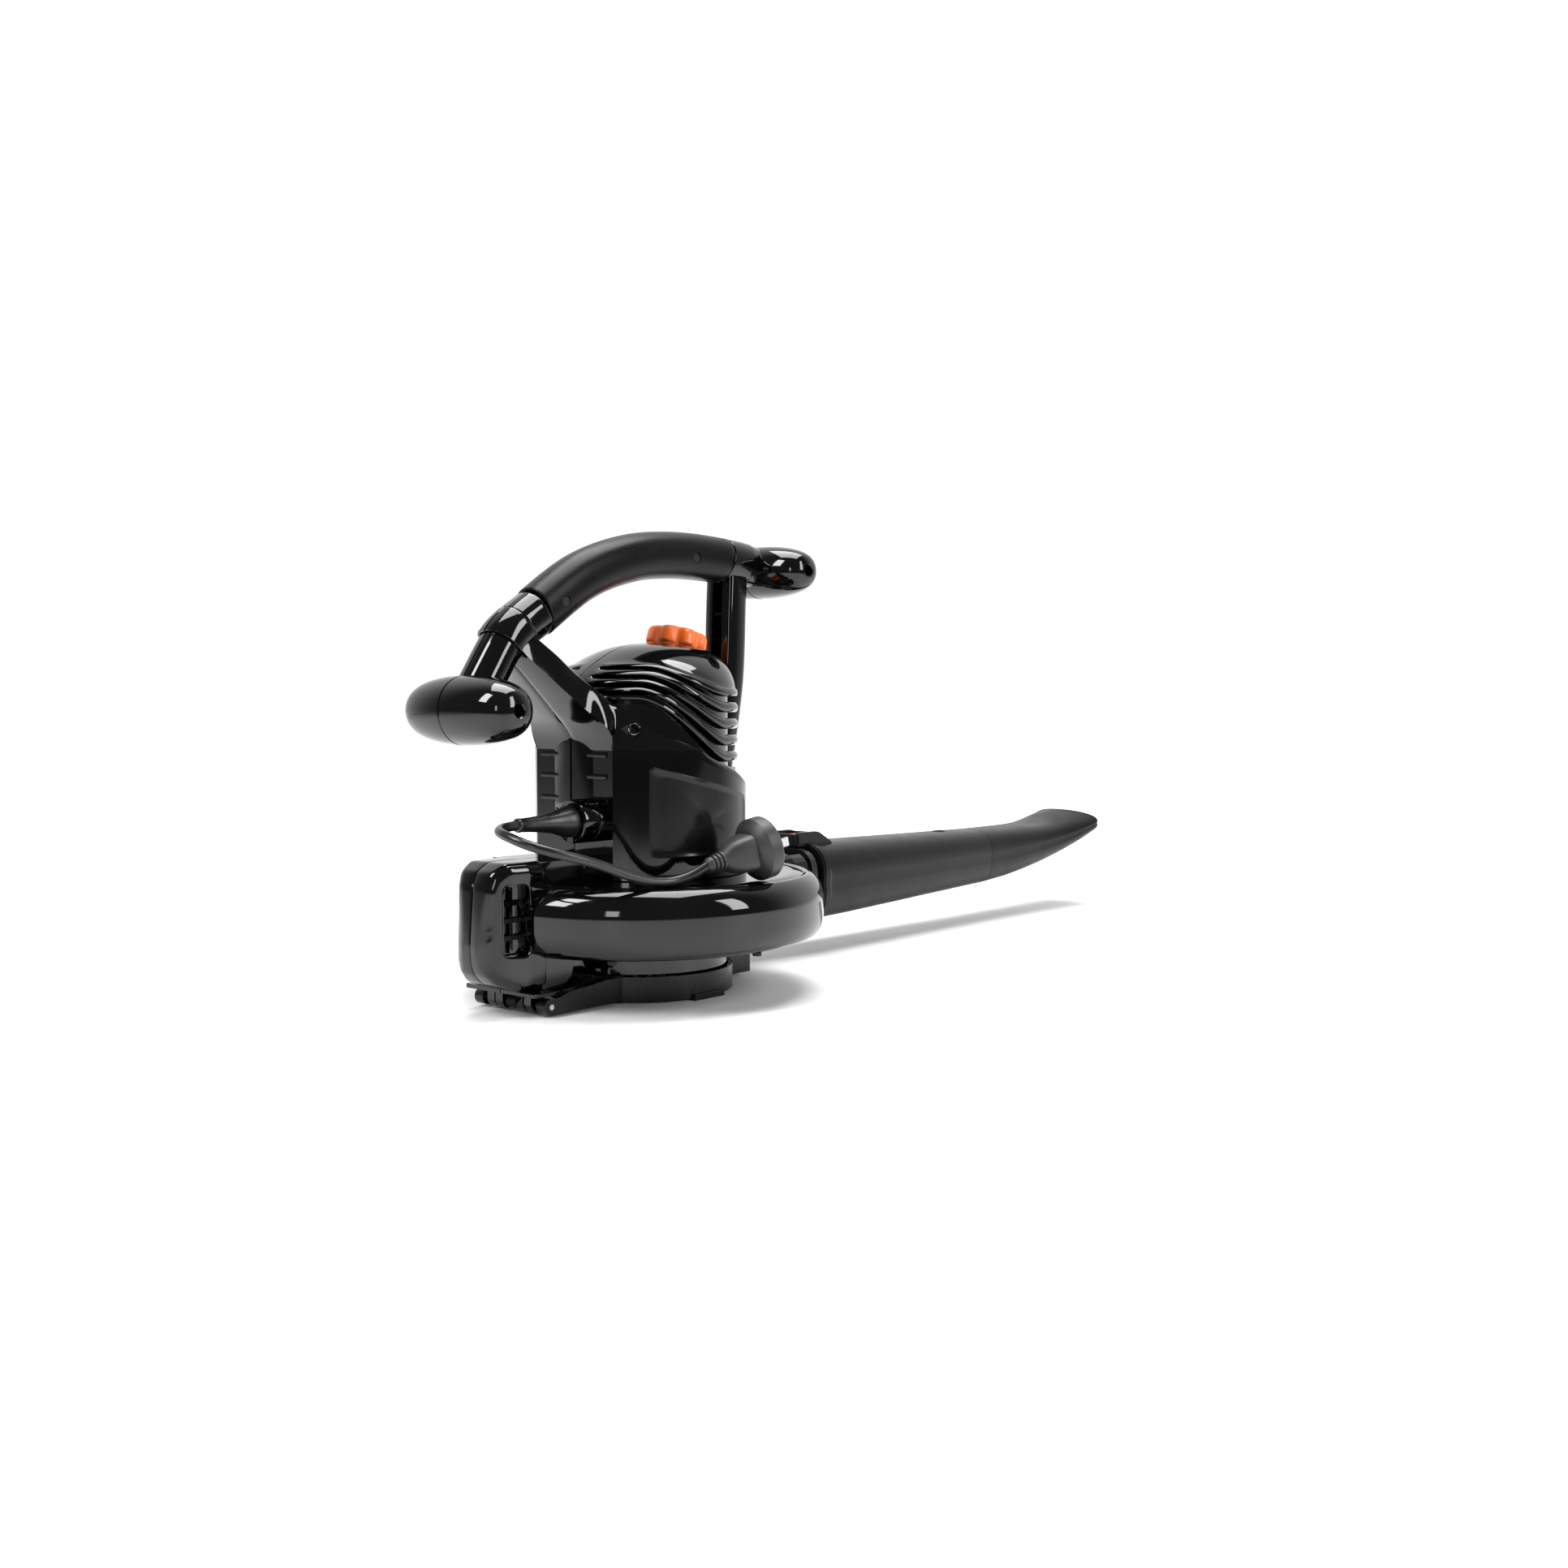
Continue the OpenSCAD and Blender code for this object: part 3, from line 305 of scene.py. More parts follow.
def drill(piece, holes):
    """Round holes through a closed piece: (centre, axis, radius, length)."""
    skin = Skin()
    for centre, axis, radius, length in holes:
        skin.lathe(centre, axis, [(0, radius), (length, radius)], steps=40)
    cutter = skin.make(piece.name + "_cutter", "casing", "gloss_black")
    cut = piece.modifiers.new("holes", "BOOLEAN")
    cut.object = cutter
    cut.solver = "EXACT"
    bpy.context.view_layer.update()
    shape = bpy.data.meshes.new_from_object(piece.evaluated_get(bpy.context.evaluated_depsgraph_get()))
    piece.modifiers.clear()
    piece.data = shape
    bpy.data.objects.remove(cutter)
    shape.set_sharp_from_angle(angle=math.radians(30))


# ---------------------------------------------------------------- screw cups
CUP_PROFILE = [(-5, 0.9), (-0.2, 1), (0.5, 0.98), (0.7, 0.9), (0.4, 0.8), (-4, 0.72)]
SCREW_CUPS = {"cap_screw_cup_": ((-5, 45.5, 252.4), (-0.3, 0.68, 0.67), 5),
              "arm_screw_cup_": ((-59.5, 52.6, 201.4), (-0.72, 0.66, 0.2), 4.6)}


def screw_cups(mirror):
    """Rimmed cups for screws, sunk in the curved shells."""
    out = -1 if mirror else 1
    for name, ((x, y, z), (u, v, w), radius) in SCREW_CUPS.items():
        profile = [(d, radius * share) for d, share in CUP_PROFILE] + [(-4.2, 0.3)]
        cup = Skin().lathe((x, out * y, z), (u, out * v, w), profile, steps=40)
        cup.make(name + side_name(mirror), "casing", "gloss_black")


# ---------------------------------------------------------------- motor housing
SEAM = 0.3              # half of the gap between two half shells
HOUSING_R = 81
HOUSING_LOW = 91
REAR_X = -70            # flat rear of the housing
ARM_LOW = 186           # where the rear arm rises from the housing
FLARE_FROM = 103        # direction in which the round wall turns into the arm, in degrees
EDGE_STEPS = 4
CREASE = [(-70, 40.8, 186), (-72, 42.8, 195), (-76.4, 40.2, 204), (-84, 34.1, 212), (-100, 28.3, 226),
          (-117, 22.2, 241.6), (-128.5, 18.8, 251.5), (-134, 16.5, 258)]
RIDGE_ARM = [(-60.8, 40.8, 216.3), (-66.7, 35.6, 222.2), (-74.6, 30.6, 230), (-82.8, 26.6, 236.7),
             (-90.8, 23.8, 243.1), (-104, 20.5, 254.5), (-113, 18.3, 261.5), (-121, 17.3, 267)]
RIDGE_FLARE = [(-18.2, 78.9, 186), (-27.9, 71.5, 191.5), (-38.7, 62.7, 197.3), (-47.8, 54, 205.2),
               (-54.8, 47, 211.2)]
REAR_SEAM = [(186, -70.5), (195, -73.8), (204, -80.6), (212, -89), (226, -103.5), (241.6, -120.5),
             (251.5, -131.4), (258, -138)]
RIDGE_ROUND = [(0, 150), (20, 152), (42, 158), (62.8, 166), (72.7, 171), (80, 174), (90, 178.3),
               (103, 186), (150, 186)]
UPPER_EDGE = [(4.6, 0), (2.9, 0.4), (1.5, 1.3), (0.5, 2.6), (0, 4.2)]      # (below the ridge, inset)
LEDGE = [(75.2, 0.1), (73.4, 0.5), (72, 3)]                                # (radius, below the ridge)
REAR_COLUMNS = [(38, 0), (30, 0), (20, 0), (10, 0), (2, 0), (0.9, 0.2), (SEAM, 0.9)]       # (y, inset)
REAR_RIBS = (182.7, 166.9, 150.3, 133.9)
ROUND_PHIS = np.linspace(0, FLARE_FROM, 53)
FLARE_PHIS = np.linspace(FLARE_FROM, 149.8, 25)[1:]


def ridge_round(phi):
    """Height of the shell's upper edge in a direction."""
    return float(np.interp(phi, [p[0] for p in RIDGE_ROUND], [p[1] for p in RIDGE_ROUND]))


def edge_fillet(phi):
    """How far the upper edge is rounded: fully, fading out where the arm flares from the wall."""
    return smoothstep((FLARE_FROM - phi) / 9)


def wall_point(r, phi, z):
    x, y = polar(r, phi)
    return x, max(y, SEAM), z


def housing_wall(skin):
    """Round wall from the lower rim to the ridge, and the flat rear."""
    columns = []
    for phi in np.concatenate([ROUND_PHIS, FLARE_PHIS]):
        top = ridge_round(phi)
        seam_inset = 0.4 if phi < 0.5 else 0
        plain = [*np.linspace(93, 108, 6), *np.linspace(112, top - 7, 12)]
        column = [(HOUSING_LOW, 0.7), (HOUSING_LOW + 0.8, 0)] + [(z, 0) for z in plain]
        column += [(top - drop, inset * edge_fillet(phi)) for drop, inset in UPPER_EDGE]
        columns.append([wall_point(HOUSING_R - inset - seam_inset, phi, z) for z, inset in column])
    heights = [p[2] for p in columns[-1]]
    for y, inset in REAR_COLUMNS:
        columns.append([(REAR_X + inset, y, z) for z in heights])
    skin.grid(columns)


def housing_ledge(skin):
    """Ledge between the shell's upper edge and the vent cap."""
    rows = []
    for phi in ROUND_PHIS:
        outer = HOUSING_R - UPPER_EDGE[-1][1] * edge_fillet(phi)
        rows.append([wall_point(r, phi, ridge_round(phi) - drop) for r, drop in [(outer, 0)] + LEDGE])
    skin.grid(rows)


def arm_flank(skin, ridge):
    """Flare and side band of the arm, from the crease up to the ridge."""
    foot = [(*polar(HOUSING_R, phi), ARM_LOW) for phi in (FLARE_FROM, 112, 122, 132, 141)]
    rows = []
    for p, q in zip(through(foot + CREASE, EDGE_STEPS), ridge):
        span = np.linalg.norm(q - p)
        ease = min(1.0, span / 20)
        out = np.array([p[0] + 40, p[1], 0])
        out = out / np.linalg.norm(out) * 0.35 + np.array([0, 0.65, 0])
        row = [p + (q - p) * t + out * (0.09 * span * t * (1 - t)) for t in np.linspace(0, 0.93, 12)]
        row += [q + np.array(turn) * ease for turn in ((0, -0.5, -0.5), (0, -1.6, 0), (0, -2.9, 0.2))]
        rows.append(row)
    skin.grid(rows)


def arm_top(skin, ridge):
    """Top of the arm, from the ridge in to the seam. It starts at the flare's fourth point."""
    rows = []
    for x, y, z in ridge[3 * EDGE_STEPS:]:
        edge = y - 2.9
        spots = np.linspace(edge, SEAM, 8)
        rows.append([(x - 0.05 * (edge - q), q, z + 0.2 + 0.02 * (edge - q)) for q in spots])
    skin.grid(rows)


def arm_rear(skin):
    """Rear face of the arm, curving from the crease to the seam."""
    shares = np.linspace(1, 0, 12)
    rows = []
    for (z, x), crease in zip(REAR_SEAM, CREASE):
        row = []
        for t in shares:
            inset = 0.9 if t == 0 else 0
            back = x + (crease[0] - x) * t ** 2 + inset
            row.append((back, max(SEAM, crease[1] * t), z + (crease[2] - z) * t))
        rows.append(row)
    skin.grid([through([row[j] for row in rows], EDGE_STEPS) for j in range(len(shares))])


def rear_ribs(skin):
    """Shallow ribs across the flat rear, fading out before its edge."""
    for z in REAR_RIBS:
        rib = []
        for y, lift in ((SEAM, 0.2), (SEAM + 0.6, 1.3), (33, 1.3), (35, 1.1), (36, 0)):
            section = ((0, -1.9), (lift, -1.4), (lift * 1.1, 0), (lift, 1.4), (0, 1.9))
            rib.append([(REAR_X - out, y, z + rise) for out, rise in section])
        skin.grid(rib)


def housing_half(mirror):
    skin = Skin()
    ridge = through(RIDGE_FLARE + RIDGE_ARM, EDGE_STEPS)
    housing_wall(skin)
    housing_ledge(skin)
    arm_flank(skin, ridge)
    arm_top(skin, ridge)
    arm_rear(skin)
    rear_ribs(skin)
    side = side_name(mirror)
    skin.make("housing_shell_" + side, "casing", "gloss_black", ["housing_" + side], mirror=mirror, edge=28)


# ---------------------------------------------------------------- vent cap
KNOB_AT = (38, 0, 262.5)
KNOB_TILT = math.radians(15)
KNOB_AXIS = np.array([math.sin(KNOB_TILT), 0, math.cos(KNOB_TILT)])
CAP_LOW = 140
DOME = [(226, 0, 73), (237, 3, 69.5), (247, 8, 62), (255, 12.5, 52), (261, 15, 40.5), (264.5, 16, 28),
        (266.3, 16, 13), (266.6, 16, 0.5)]       # (height, shift forward, radius)
DOME_FINE = through(DOME, 6)
LOUVRE_LINES = [(250, 232), (244.7, 220.4), (238, 208), (232, 195.5), (226, 183),
                (220, 171)]              # heights at the rear and at the front
LOUVRE = [(0.0, 0), (0.06, 0.5), (0.14, 1.2), (0.30, 1.6), (0.46, 1.2), (0.54, 0.4), (0.58, -1.0),
          (0.60, -6.5), (0.93, -6.5), (0.95, -1.0), (0.985, -0.2)]       # (share of the pitch, lift)


def cap_point(z, psi, inset):
    """Point of the cap at a height and direction. Under the knob, the dome is pressed nearly flat."""
    shift = float(np.interp(z, DOME_FINE[:, 0], DOME_FINE[:, 1]))
    r = max(0.3, float(np.interp(z, DOME_FINE[:, 0], DOME_FINE[:, 2])) - inset)
    x, y = polar(r, psi)
    x, y = x + shift, max(SEAM, y)
    over = (x - KNOB_AT[0]) * KNOB_AXIS[0] + (z - KNOB_AT[2] + 2.2) * KNOB_AXIS[2]
    if over > 0 and z > 240:
        x -= 0.9 * over * KNOB_AXIS[0]
        z -= 0.9 * over * KNOB_AXIS[2]
    return x, y, z


def cap_half(mirror):
    """Half of the cap, with five raised louvres and the slots between them."""
    columns = []
    for psi in [0, 0.8, *np.linspace(2, 178, 89), 179.2, 180]:
        share = smoothstep((psi - 72) / 66)
        lines = [front + (rear - front) * share for rear, front in LOUVRE_LINES]
        fade = smoothstep((psi - 14) / 12) * smoothstep((172 - psi) / 8)
        seam = 0.7 if psi in (0, 180) else 0
        column = [(z, seam) for z in np.linspace(266.4, lines[0] + 3, 22)]
        for upper, lower in zip(lines, lines[1:]):
            column += [(upper - u * (upper - lower), seam - lift * fade) for u, lift in LOUVRE]
        column += [(z, seam) for z in [lines[-1], *np.linspace(lines[-1] - 3, CAP_LOW, 12)]]
        columns.append([cap_point(z, psi, inset) for z, inset in column])
    side = side_name(mirror)
    Skin().grid(columns).make("vent_shell_" + side, "casing", "gloss_black", ["vent_cap_" + side],
                              mirror=mirror, wall=1.6, edge=32)


# ---------------------------------------------------------------- handle
HANDLE_PATH = [(-168, 215), (-159, 230), (-150, 244), (-142, 256), (-134, 266), (-121, 276), (-107, 285),
               (-82, 302), (-61, 314), (-35, 324), (-5, 331.5), (25, 335), (56, 336), (89, 335), (108, 334),
               (126, 331.5), (142, 328)]
HANDLE_STEPS = 8
HANDLE = through([(x, 0, z) for x, z in HANDLE_PATH], HANDLE_STEPS)
GRIP_SCREWS = ((-92, 293), (45, 333))
HAND_SLANT = 0.12       # the grip's ends lean by this share of a path step
SOFT_SQUARE = 0.92      # below 1, a round section turns slightly square


def handle_frame(s):
    """Centre and normal of the handle at a path index."""
    k = min(len(HANDLE) - 1.001, max(0, s * HANDLE_STEPS))
    i = int(k)
    centre = HANDLE[i] + (HANDLE[i + 1] - HANDLE[i]) * (k - i)
    along = HANDLE[min(len(HANDLE) - 1, i + 4)] - HANDLE[max(0, i - 3)]
    return centre, np.cross(along / np.linalg.norm(along), (0, 1, 0))


def handle_run(skin, stations, slant=0.0):
    """Half round shell along the handle: stations are (path index, radius)."""
    rows = []
    for s, r in stations:
        row = []
        for angle in [-90, -87.5, *np.linspace(-82, 82, 23), 87.5, 90]:
            a = math.radians(angle)
            centre, normal = handle_frame(s + slant * math.sin(a))
            reach = r - (0.6 if abs(angle) == 90 else 0)
            p = centre + normal * reach * signed_power(math.sin(a), SOFT_SQUARE)
            row.append((p[0], max(SEAM, reach * abs(math.cos(a)) ** SOFT_SQUARE), p[2]))
        rows.append(row)
    skin.grid(rows)


def rounded_ends(first, last, r):
    """Stations of a run whose ends are rounded off."""
    step = 0.02
    corner = [(0, 1.8), (0.2 * step, 0.6), (step, 0.15), (2 * step, 0)]
    inner = np.arange(first + 3 * step, last - 3 * step, 0.16)
    return [(first + d, r - drop) for d, drop in corner] + [(s, r) for s in inner] \
        + [(last - d, r - drop) for d, drop in reversed(corner)]


def bar_half(skin, centre, a, length, b):
    """Half of a blunt cross bar, with a screw pocket in its end."""
    c = np.array(centre, float)

    def section(y, long, short, power=0.94):
        return ring(c + (0, y, 0), (0, 0, 1), (1, 0, 0), short, long, power, 56)
    rows = [section(SEAM, a - 0.8, b - 0.8)]
    for angle in [1.0, *np.linspace(3, 81, 30)]:
        t = math.radians(angle)
        taper = math.cos(t) ** 0.56
        rows.append(section(length * math.sin(t), a * taper, b * taper))
    end = length * math.sin(math.radians(81)) + 0.6
    for d, r in ((0, 6.8), (0.2, 5.2), (-0.6, 4.4), (-9, 4.1), (-9.2, 0.3)):
        rows.append(section(end + d, r, r, 1))
    skin.grid(rows, closed=True)


def handle_half(mirror):
    """Handle shell in overlapping runs, its two cross bars, and the soft grip round it."""
    side = side_name(mirror)
    shell = Skin()
    handle_run(shell, [(s, 15.3) for s in np.linspace(0.6, 3.6, 20)])
    handle_run(shell, rounded_ends(3.45, 4.78, 17.8))
    handle_run(shell, rounded_ends(4.8, 5.98, 17.3))
    handle_run(shell, [(s, 15) for s in np.linspace(5.9, 13.2, 60)])
    handle_run(shell, rounded_ends(13.02, 14.4, 17.9), slant=HAND_SLANT)
    handle_run(shell, [(s, 17.8 - 1.4 * smoothstep((s - 14) / 2)) for s in np.linspace(14.2, 15.9, 12)])
    bar_half(shell, (-168, 0, 215), 26, 54, 24.5)
    bar_half(shell, (142, 0, 328), 24, 51, 21.5)
    shell.make("handle_shell_" + side, "casing", "gloss_black", ["handle_" + side], mirror=mirror, edge=30)
    grip = Skin()
    handle_run(grip, rounded_ends(6.02, 12.98, 18.2), slant=HAND_SLANT)
    sleeve = grip.make("grip_sleeve_" + side, "casing", "soft_grip", ["grip_" + side],
                       mirror=mirror, wall=2, edge=30)
    out = -1 if mirror else 1
    drill(sleeve, [((x, out * 12, z), (0, out, 0), 4.1, 12) for x, z in GRIP_SCREWS])


# ---------------------------------------------------------------- front strut
STRUT_PATH = [(99.5, 322), (98, 294), (97, 266), (95, 239), (91, 214), (86, 189), (80.5, 164), (76.5, 139),
              (74, 118)]
STRUT_SECTION = [(-11, 5.2), (-11, 11.5), (-9.8, 13.3), (-8, 14), (6, 14), (9.2, 13), (11, 10.5), (11.5, 6),
                 (11.6, 0.8), (11.2, SEAM), (8.6, SEAM), (8.4, 5.2)]       # (along x, half width)
STRUT_RIBS = ((88.5, 292), (80, 214), (70.5, 160))


def strut_half(mirror):
    """Half of the strut, hollow towards the rear, with cross ribs and a foot that widens a little."""
    path = through([(x, 0, z) for x, z in STRUT_PATH], 6)
    rows = []
    for i, p in enumerate(path):
        widen = 1.0 + 0.12 * smoothstep((i - len(path) * 0.75) / (len(path) * 0.25))
        rows.append([(p[0] + x, max(SEAM, y * widen) if y > 0.5 else y, p[2]) for x, y in STRUT_SECTION])
    skin = Skin().grid(rows, closed=True, ends=True)
    for x, z in STRUT_RIBS:
        skin.slab([(x, z - 1), (x + 15, z - 1), (x + 15, z + 1), (x, z + 1)], SEAM, 6)
    side = side_name(mirror)
    skin.make("strut_shell_" + side, "casing", "gloss_black", ["front_strut_" + side],
              mirror=mirror, edge=38)


# ---------------------------------------------------------------- fan casing's rim band
BAND_FROM, BAND_TO = -14, -174     # directions in degrees
BAND_CENTRE_R = 117
BAND_UPPER, BAND_LOWER = 69, 61    # heights of the two arcs that round the band
BAND_MIDDLE = 65.3
BAND_EDGES = {-50: -0.6, -46: 1.0, 66: 1.2, 72: -0.6}      # height above the casing at the band's borders


def casing_band():
    """Raised band round the casing's rim, standing 1.8 mm proud, with rounded ends."""
    rows = []
    for phi in np.linspace(BAND_FROM, BAND_TO, 140):
        to_end = min(phi - BAND_TO, BAND_FROM - phi)
        f = math.sqrt(max(0.0, 1 - (1 - min(1.0, to_end / 6)) ** 2))
        row = []
        for turn in [-50, -46, *np.linspace(-42, 60, 34), 66, 72]:
            t = math.radians(turn)
            reach = 22 + BAND_EDGES.get(turn, 1.8) * (0.3 + 0.7 * f)
            z = (BAND_UPPER if turn > 0 else BAND_LOWER) + reach * signed_power(math.sin(t), 0.86)
            x, y = polar(BAND_CENTRE_R + reach * math.cos(t) ** 0.86, phi)
            row.append((x, y, BAND_MIDDLE + (z - BAND_MIDDLE) * f))
        rows.append(row)
    Skin().grid(rows).make("casing_band", "casing", "gloss_black")


# ---------------------------------------------------------------- hinge block
BLOCK_OUTLINE = [(-141, 17), (-158, 24), (-165, 31), (-168, 38), (-169, 50), (-165.5, 94), (-162, 103),
                 (-152, 109), (-119, 109), (-119, 17)]
BLOCK_POCKET = [(-157, 47), (-154.5, 44), (-139.5, 44), (-137, 47), (-137, 91), (-139.5, 94), (-154.5, 94),
                (-157, 91)]
BLOCK_WIDTHS = [(-170, 12), (-165, 18), (-158, 21.5), (-150, 23.5), (-136, 26),
                (-100, 27)]              # (x, half width)
BLOCK_CENTRE = np.array([-145.5, 66.0])
BLOCK_ROUNDING = 7
POCKET_RIM = [(0.91, -0.9), (0.94, -1.3), (0.98, -1.2), (1.0, -0.4), (1.01, 1.5),
              (1.01, 8)]                 # (share of the way from the outline to the pocket, depth)
RAYS = 180


def rays():
    angles = 2 * np.pi * np.arange(RAYS) / RAYS
    return np.stack([np.cos(angles), np.sin(angles)], axis=1)


def star(outline):
    """Distance from the block's centre to an outline along each ray, with softened corners."""
    corners = [np.array(p, float) for p in outline]
    found = []
    for ray in rays():
        best = 0
        for i, p in enumerate(corners):
            q = corners[(i + 1) % len(corners)]
            m = np.array([ray, p - q]).T
            if abs(np.linalg.det(m)) < 1e-9:
                continue
            t, share = np.linalg.solve(m, p - BLOCK_CENTRE)
            if -1e-6 <= share <= 1 + 1e-6 and t > best:
                best = t
        found.append(best)
    for _ in range(2):
        found = [(found[i - 1] + found[i] * 2 + found[(i + 1) % RAYS]) / 4 for i in range(RAYS)]
    return np.array(found)


def block_shell(skin):
    """Rounded shell from the seam out to the side face, then the rimmed pocket in that face."""
    reach, pocket = star(BLOCK_OUTLINE), star(BLOCK_POCKET)

    def row(inset, depth, y=None, share=0.0):
        radius = (reach - inset) * (1 - share) + pocket * share
        spot = BLOCK_CENTRE + rays() * radius[:, None]
        half_width = np.interp(spot[:, 0], [w[0] for w in BLOCK_WIDTHS], [w[1] for w in BLOCK_WIDTHS])
        ys = half_width - depth if y is None else np.full(RAYS, y)
        return np.stack([spot[:, 0], ys, spot[:, 1]], axis=1)
    rows = [row(inset, 0, y) for inset, y in ((0.9, SEAM), (0.2, 0.9), (0, 2.0), (0, 7.0))]
    for a in np.radians(np.linspace(0, 90, 9)):
        rows.append(row(BLOCK_ROUNDING * (1 - math.cos(a)), BLOCK_ROUNDING * (1 - math.sin(a))))
    for share, depth in [(0.25, 0), (0.5, 0), (0.8, 0), (0.9, 0)] + POCKET_RIM:
        rows.append(row(BLOCK_ROUNDING, depth, share=share))
    skin.grid(rows, closed=True)
    floor_start = len(skin.points)
    skin.points += [tuple(p) for p in rows[-1]]
    skin.faces.append(tuple(range(floor_start, floor_start + RAYS)))


def hinge_mount(side, mirror):
    """Arm to the housing, gusset to the casing, foot plate and hinge knuckles."""
    parts = Skin()
    parts.slab([(-126, 90.5), (-70, 90.5), (-70, 106), (-73, 109), (-126, 109)], SEAM, 26)
    parts.slab([(-126, 17), (-126, 62), (-112, 46), (-92, 41), (-97, 24), (-106, 17)], SEAM, 26)
    parts.slab([(-142, 15), (-123, 15), (-123, 18.2), (-142, 18.2)], SEAM, 37)
    for y in (7.2, 16.2):
        knuckle = [ring((-128, q, 7.5), (0, 0, 1), (1, 0, 0), 5.5, 5.5, steps=40) for q in (y, y + 7.6)]
        parts.grid(knuckle, closed=True, ends=True)
        parts.slab([(-133.5, 7.5), (-122.5, 7.5), (-122.5, 16), (-133.5, 16)], y, y + 7.6)
    parts.make("hinge_mount_" + side, "casing", "gloss_black", mirror=mirror, bevel=1.4, edge=40)


def block_half(mirror):
    skin = Skin()
    block_shell(skin)
    for z in (57, 69, 81):
        skin.slab([(-156, z - 1.6), (-138, z - 1.6), (-138, z + 1.6), (-156, z + 1.6)], 13, 21)
    skin.slab([(-149, 46), (-146, 46), (-146, 92), (-149, 92)], 13, 19)
    side = side_name(mirror)
    skin.make("hinge_block_" + side, "casing", "gloss_black", ["hinge_frame_" + side],
              mirror=mirror, edge=32)
    hinge_mount(side, mirror)


# ---------------------------------------------------------------- label
LABEL_CORNERS = [(-131, 108), (-60, 108), (-60, 150), (-131, 175)]     # (degrees round the housing, height)
LABEL_CENTRE = np.array([-96, 135])
LABEL_STRETCH = np.array([1.41, 1])       # millimetres of arc in one degree, and in one of height
LABEL_ROWS = [(1, 80.9), (1, 81.35), (0.992, 81.6), (0.965, 81.6), (0.955, 81.35), (0.8, 81.35),
              (0.6, 81.35), (0.4, 81.35), (0.2, 81.35), (0.001, 81.35)]      # (scale of the outline, radius)


def towards(corner, other, distance):
    """Point at a distance in millimetres from a label corner, on the way to another one."""
    v = (np.array(other) - corner) * LABEL_STRETCH
    return corner + v / np.linalg.norm(v) * distance / LABEL_STRETCH


def label_outline():
    """Outline with rounded corners, then filled in to a point about every 3 mm."""
    outline = []
    for i, corner in enumerate(LABEL_CORNERS):
        c = np.array(corner)
        p = towards(c, LABEL_CORNERS[i - 1], 6)
        q = towards(c, LABEL_CORNERS[(i + 1) % len(LABEL_CORNERS)], 6)
        outline += [(1 - t) ** 2 * p + 2 * t * (1 - t) * c + t ** 2 * q for t in np.linspace(0, 1, 8)]
    dense = []
    for i, p in enumerate(outline):
        q = outline[(i + 1) % len(outline)]
        count = max(1, int(np.linalg.norm((q - p) * LABEL_STRETCH) / 3))
        dense += [p + (q - p) * k / count for k in range(count)]
    return np.array(dense)


def label_panel():
    """Blank plate with a low rim, curved round the housing."""
    outline = label_outline()
    rows = []
    for scale, r in LABEL_ROWS:
        rows.append([(*polar(r, phi), z) for phi, z in LABEL_CENTRE + (outline - LABEL_CENTRE) * scale])
    Skin().grid(rows, closed=True).make("label_panel", "casing", "label", ["label_plate"], edge=50)


# ---------------------------------------------------------------- tube and nozzle
TUBE_Y = 30
TUBE_FRONT = 217
DUCT_POWER = 0.62       # gives the duct's ring its flat faces and round corners
# rings of both ducts are (x, height of the middle, half width, half height)
TUBE_RINGS = [(TUBE_FRONT, 62, 36.5, 34), (232, 62.1, 36.4, 33.8), (280, 62.5, 36, 33),
              (390, 63.5, 33.5, 30), (495.7, 64.5, 31, 27.3)]
NOZZLE_RINGS = [(496.3, 64.5, 31, 27.3), (520, 65.3, 31.3, 26.3), (545, 66.5, 32, 25), (590, 70, 33.5, 21.5),
                (630, 75, 36, 17.5), (662, 81, 39, 13.8), (683, 86, 40.6, 11.2), (692, 88.5, 41, 10.5)]
PANEL_OUTLINE = [(284, 18), (288, 12.5), (420, 14.5), (427, 19), (427, 41), (420, 45.5), (288, 47.5),
                 (284, 42)]
PANEL_CENTRE = (355, 30)
PANEL_ROWS = [(0, -3), (0, 1.0), (-0.8, 1.4), (-2.2, 1.4), (-3, 0.3), (-6, 0.3), (-20, 0.3)]   # (grow, lift)
GUARD_SIDE = [(206, 94), (206, 104), (208, 106.5), (232, 106.5), (236, 105.5), (252, 97), (254, 94)]
GUARD_CROSS = [[(234, 94), (234, 105.6), (236, 105.4), (252, 97), (254, 94)],
               [(206, 94), (206, 104.5), (208, 105.5), (210, 104.5), (210, 94)],
               [(209, 93), (209, 97), (235, 97), (235, 93)]]


def duct_ring(x, middle, half_width, half_height, inset=0, lean=None):
    """Ring of the duct with a shallow groove on both sides. lean bends the mouth."""
    steps = 120
    half_width, half_height = half_width - inset, half_height - inset
    points = []
    for k in range(steps):
        t = 2 * math.pi * k / steps
        y = half_width * signed_power(math.cos(t), DUCT_POWER)
        z = half_height * signed_power(math.sin(t), DUCT_POWER)
        groove = 0.5 if abs(z) < 0.35 else 0
        y -= math.copysign(groove, y)
        forward, up = lean(y / half_width, z / half_height) if lean else (0, 0)
        points.append((x + forward, TUBE_Y + y, middle + z + up))
    return points


def tube_wall(skin, rings):
    """Outer wall with a thicker root, the open end's lip, and the inner wall."""
    _, *root = rings[0]
    rows = [duct_ring(TUBE_FRONT, *root, inset) for inset in (3, 0.8)]
    for x, *size in rings:
        rows.append(duct_ring(x + (0.4 if x < 218 else 0), *size, -0.8 if x < 228 else 0))
    end, *size = rings[-1]
    rows += [duct_ring(end + 0.1, *size, inset) for inset in (1.0, 2.6)]
    skin.grid(rows, closed=True)
    skin.grid([duct_ring(x, *size, 2.6) for x, *size in reversed(rings)], closed=True)


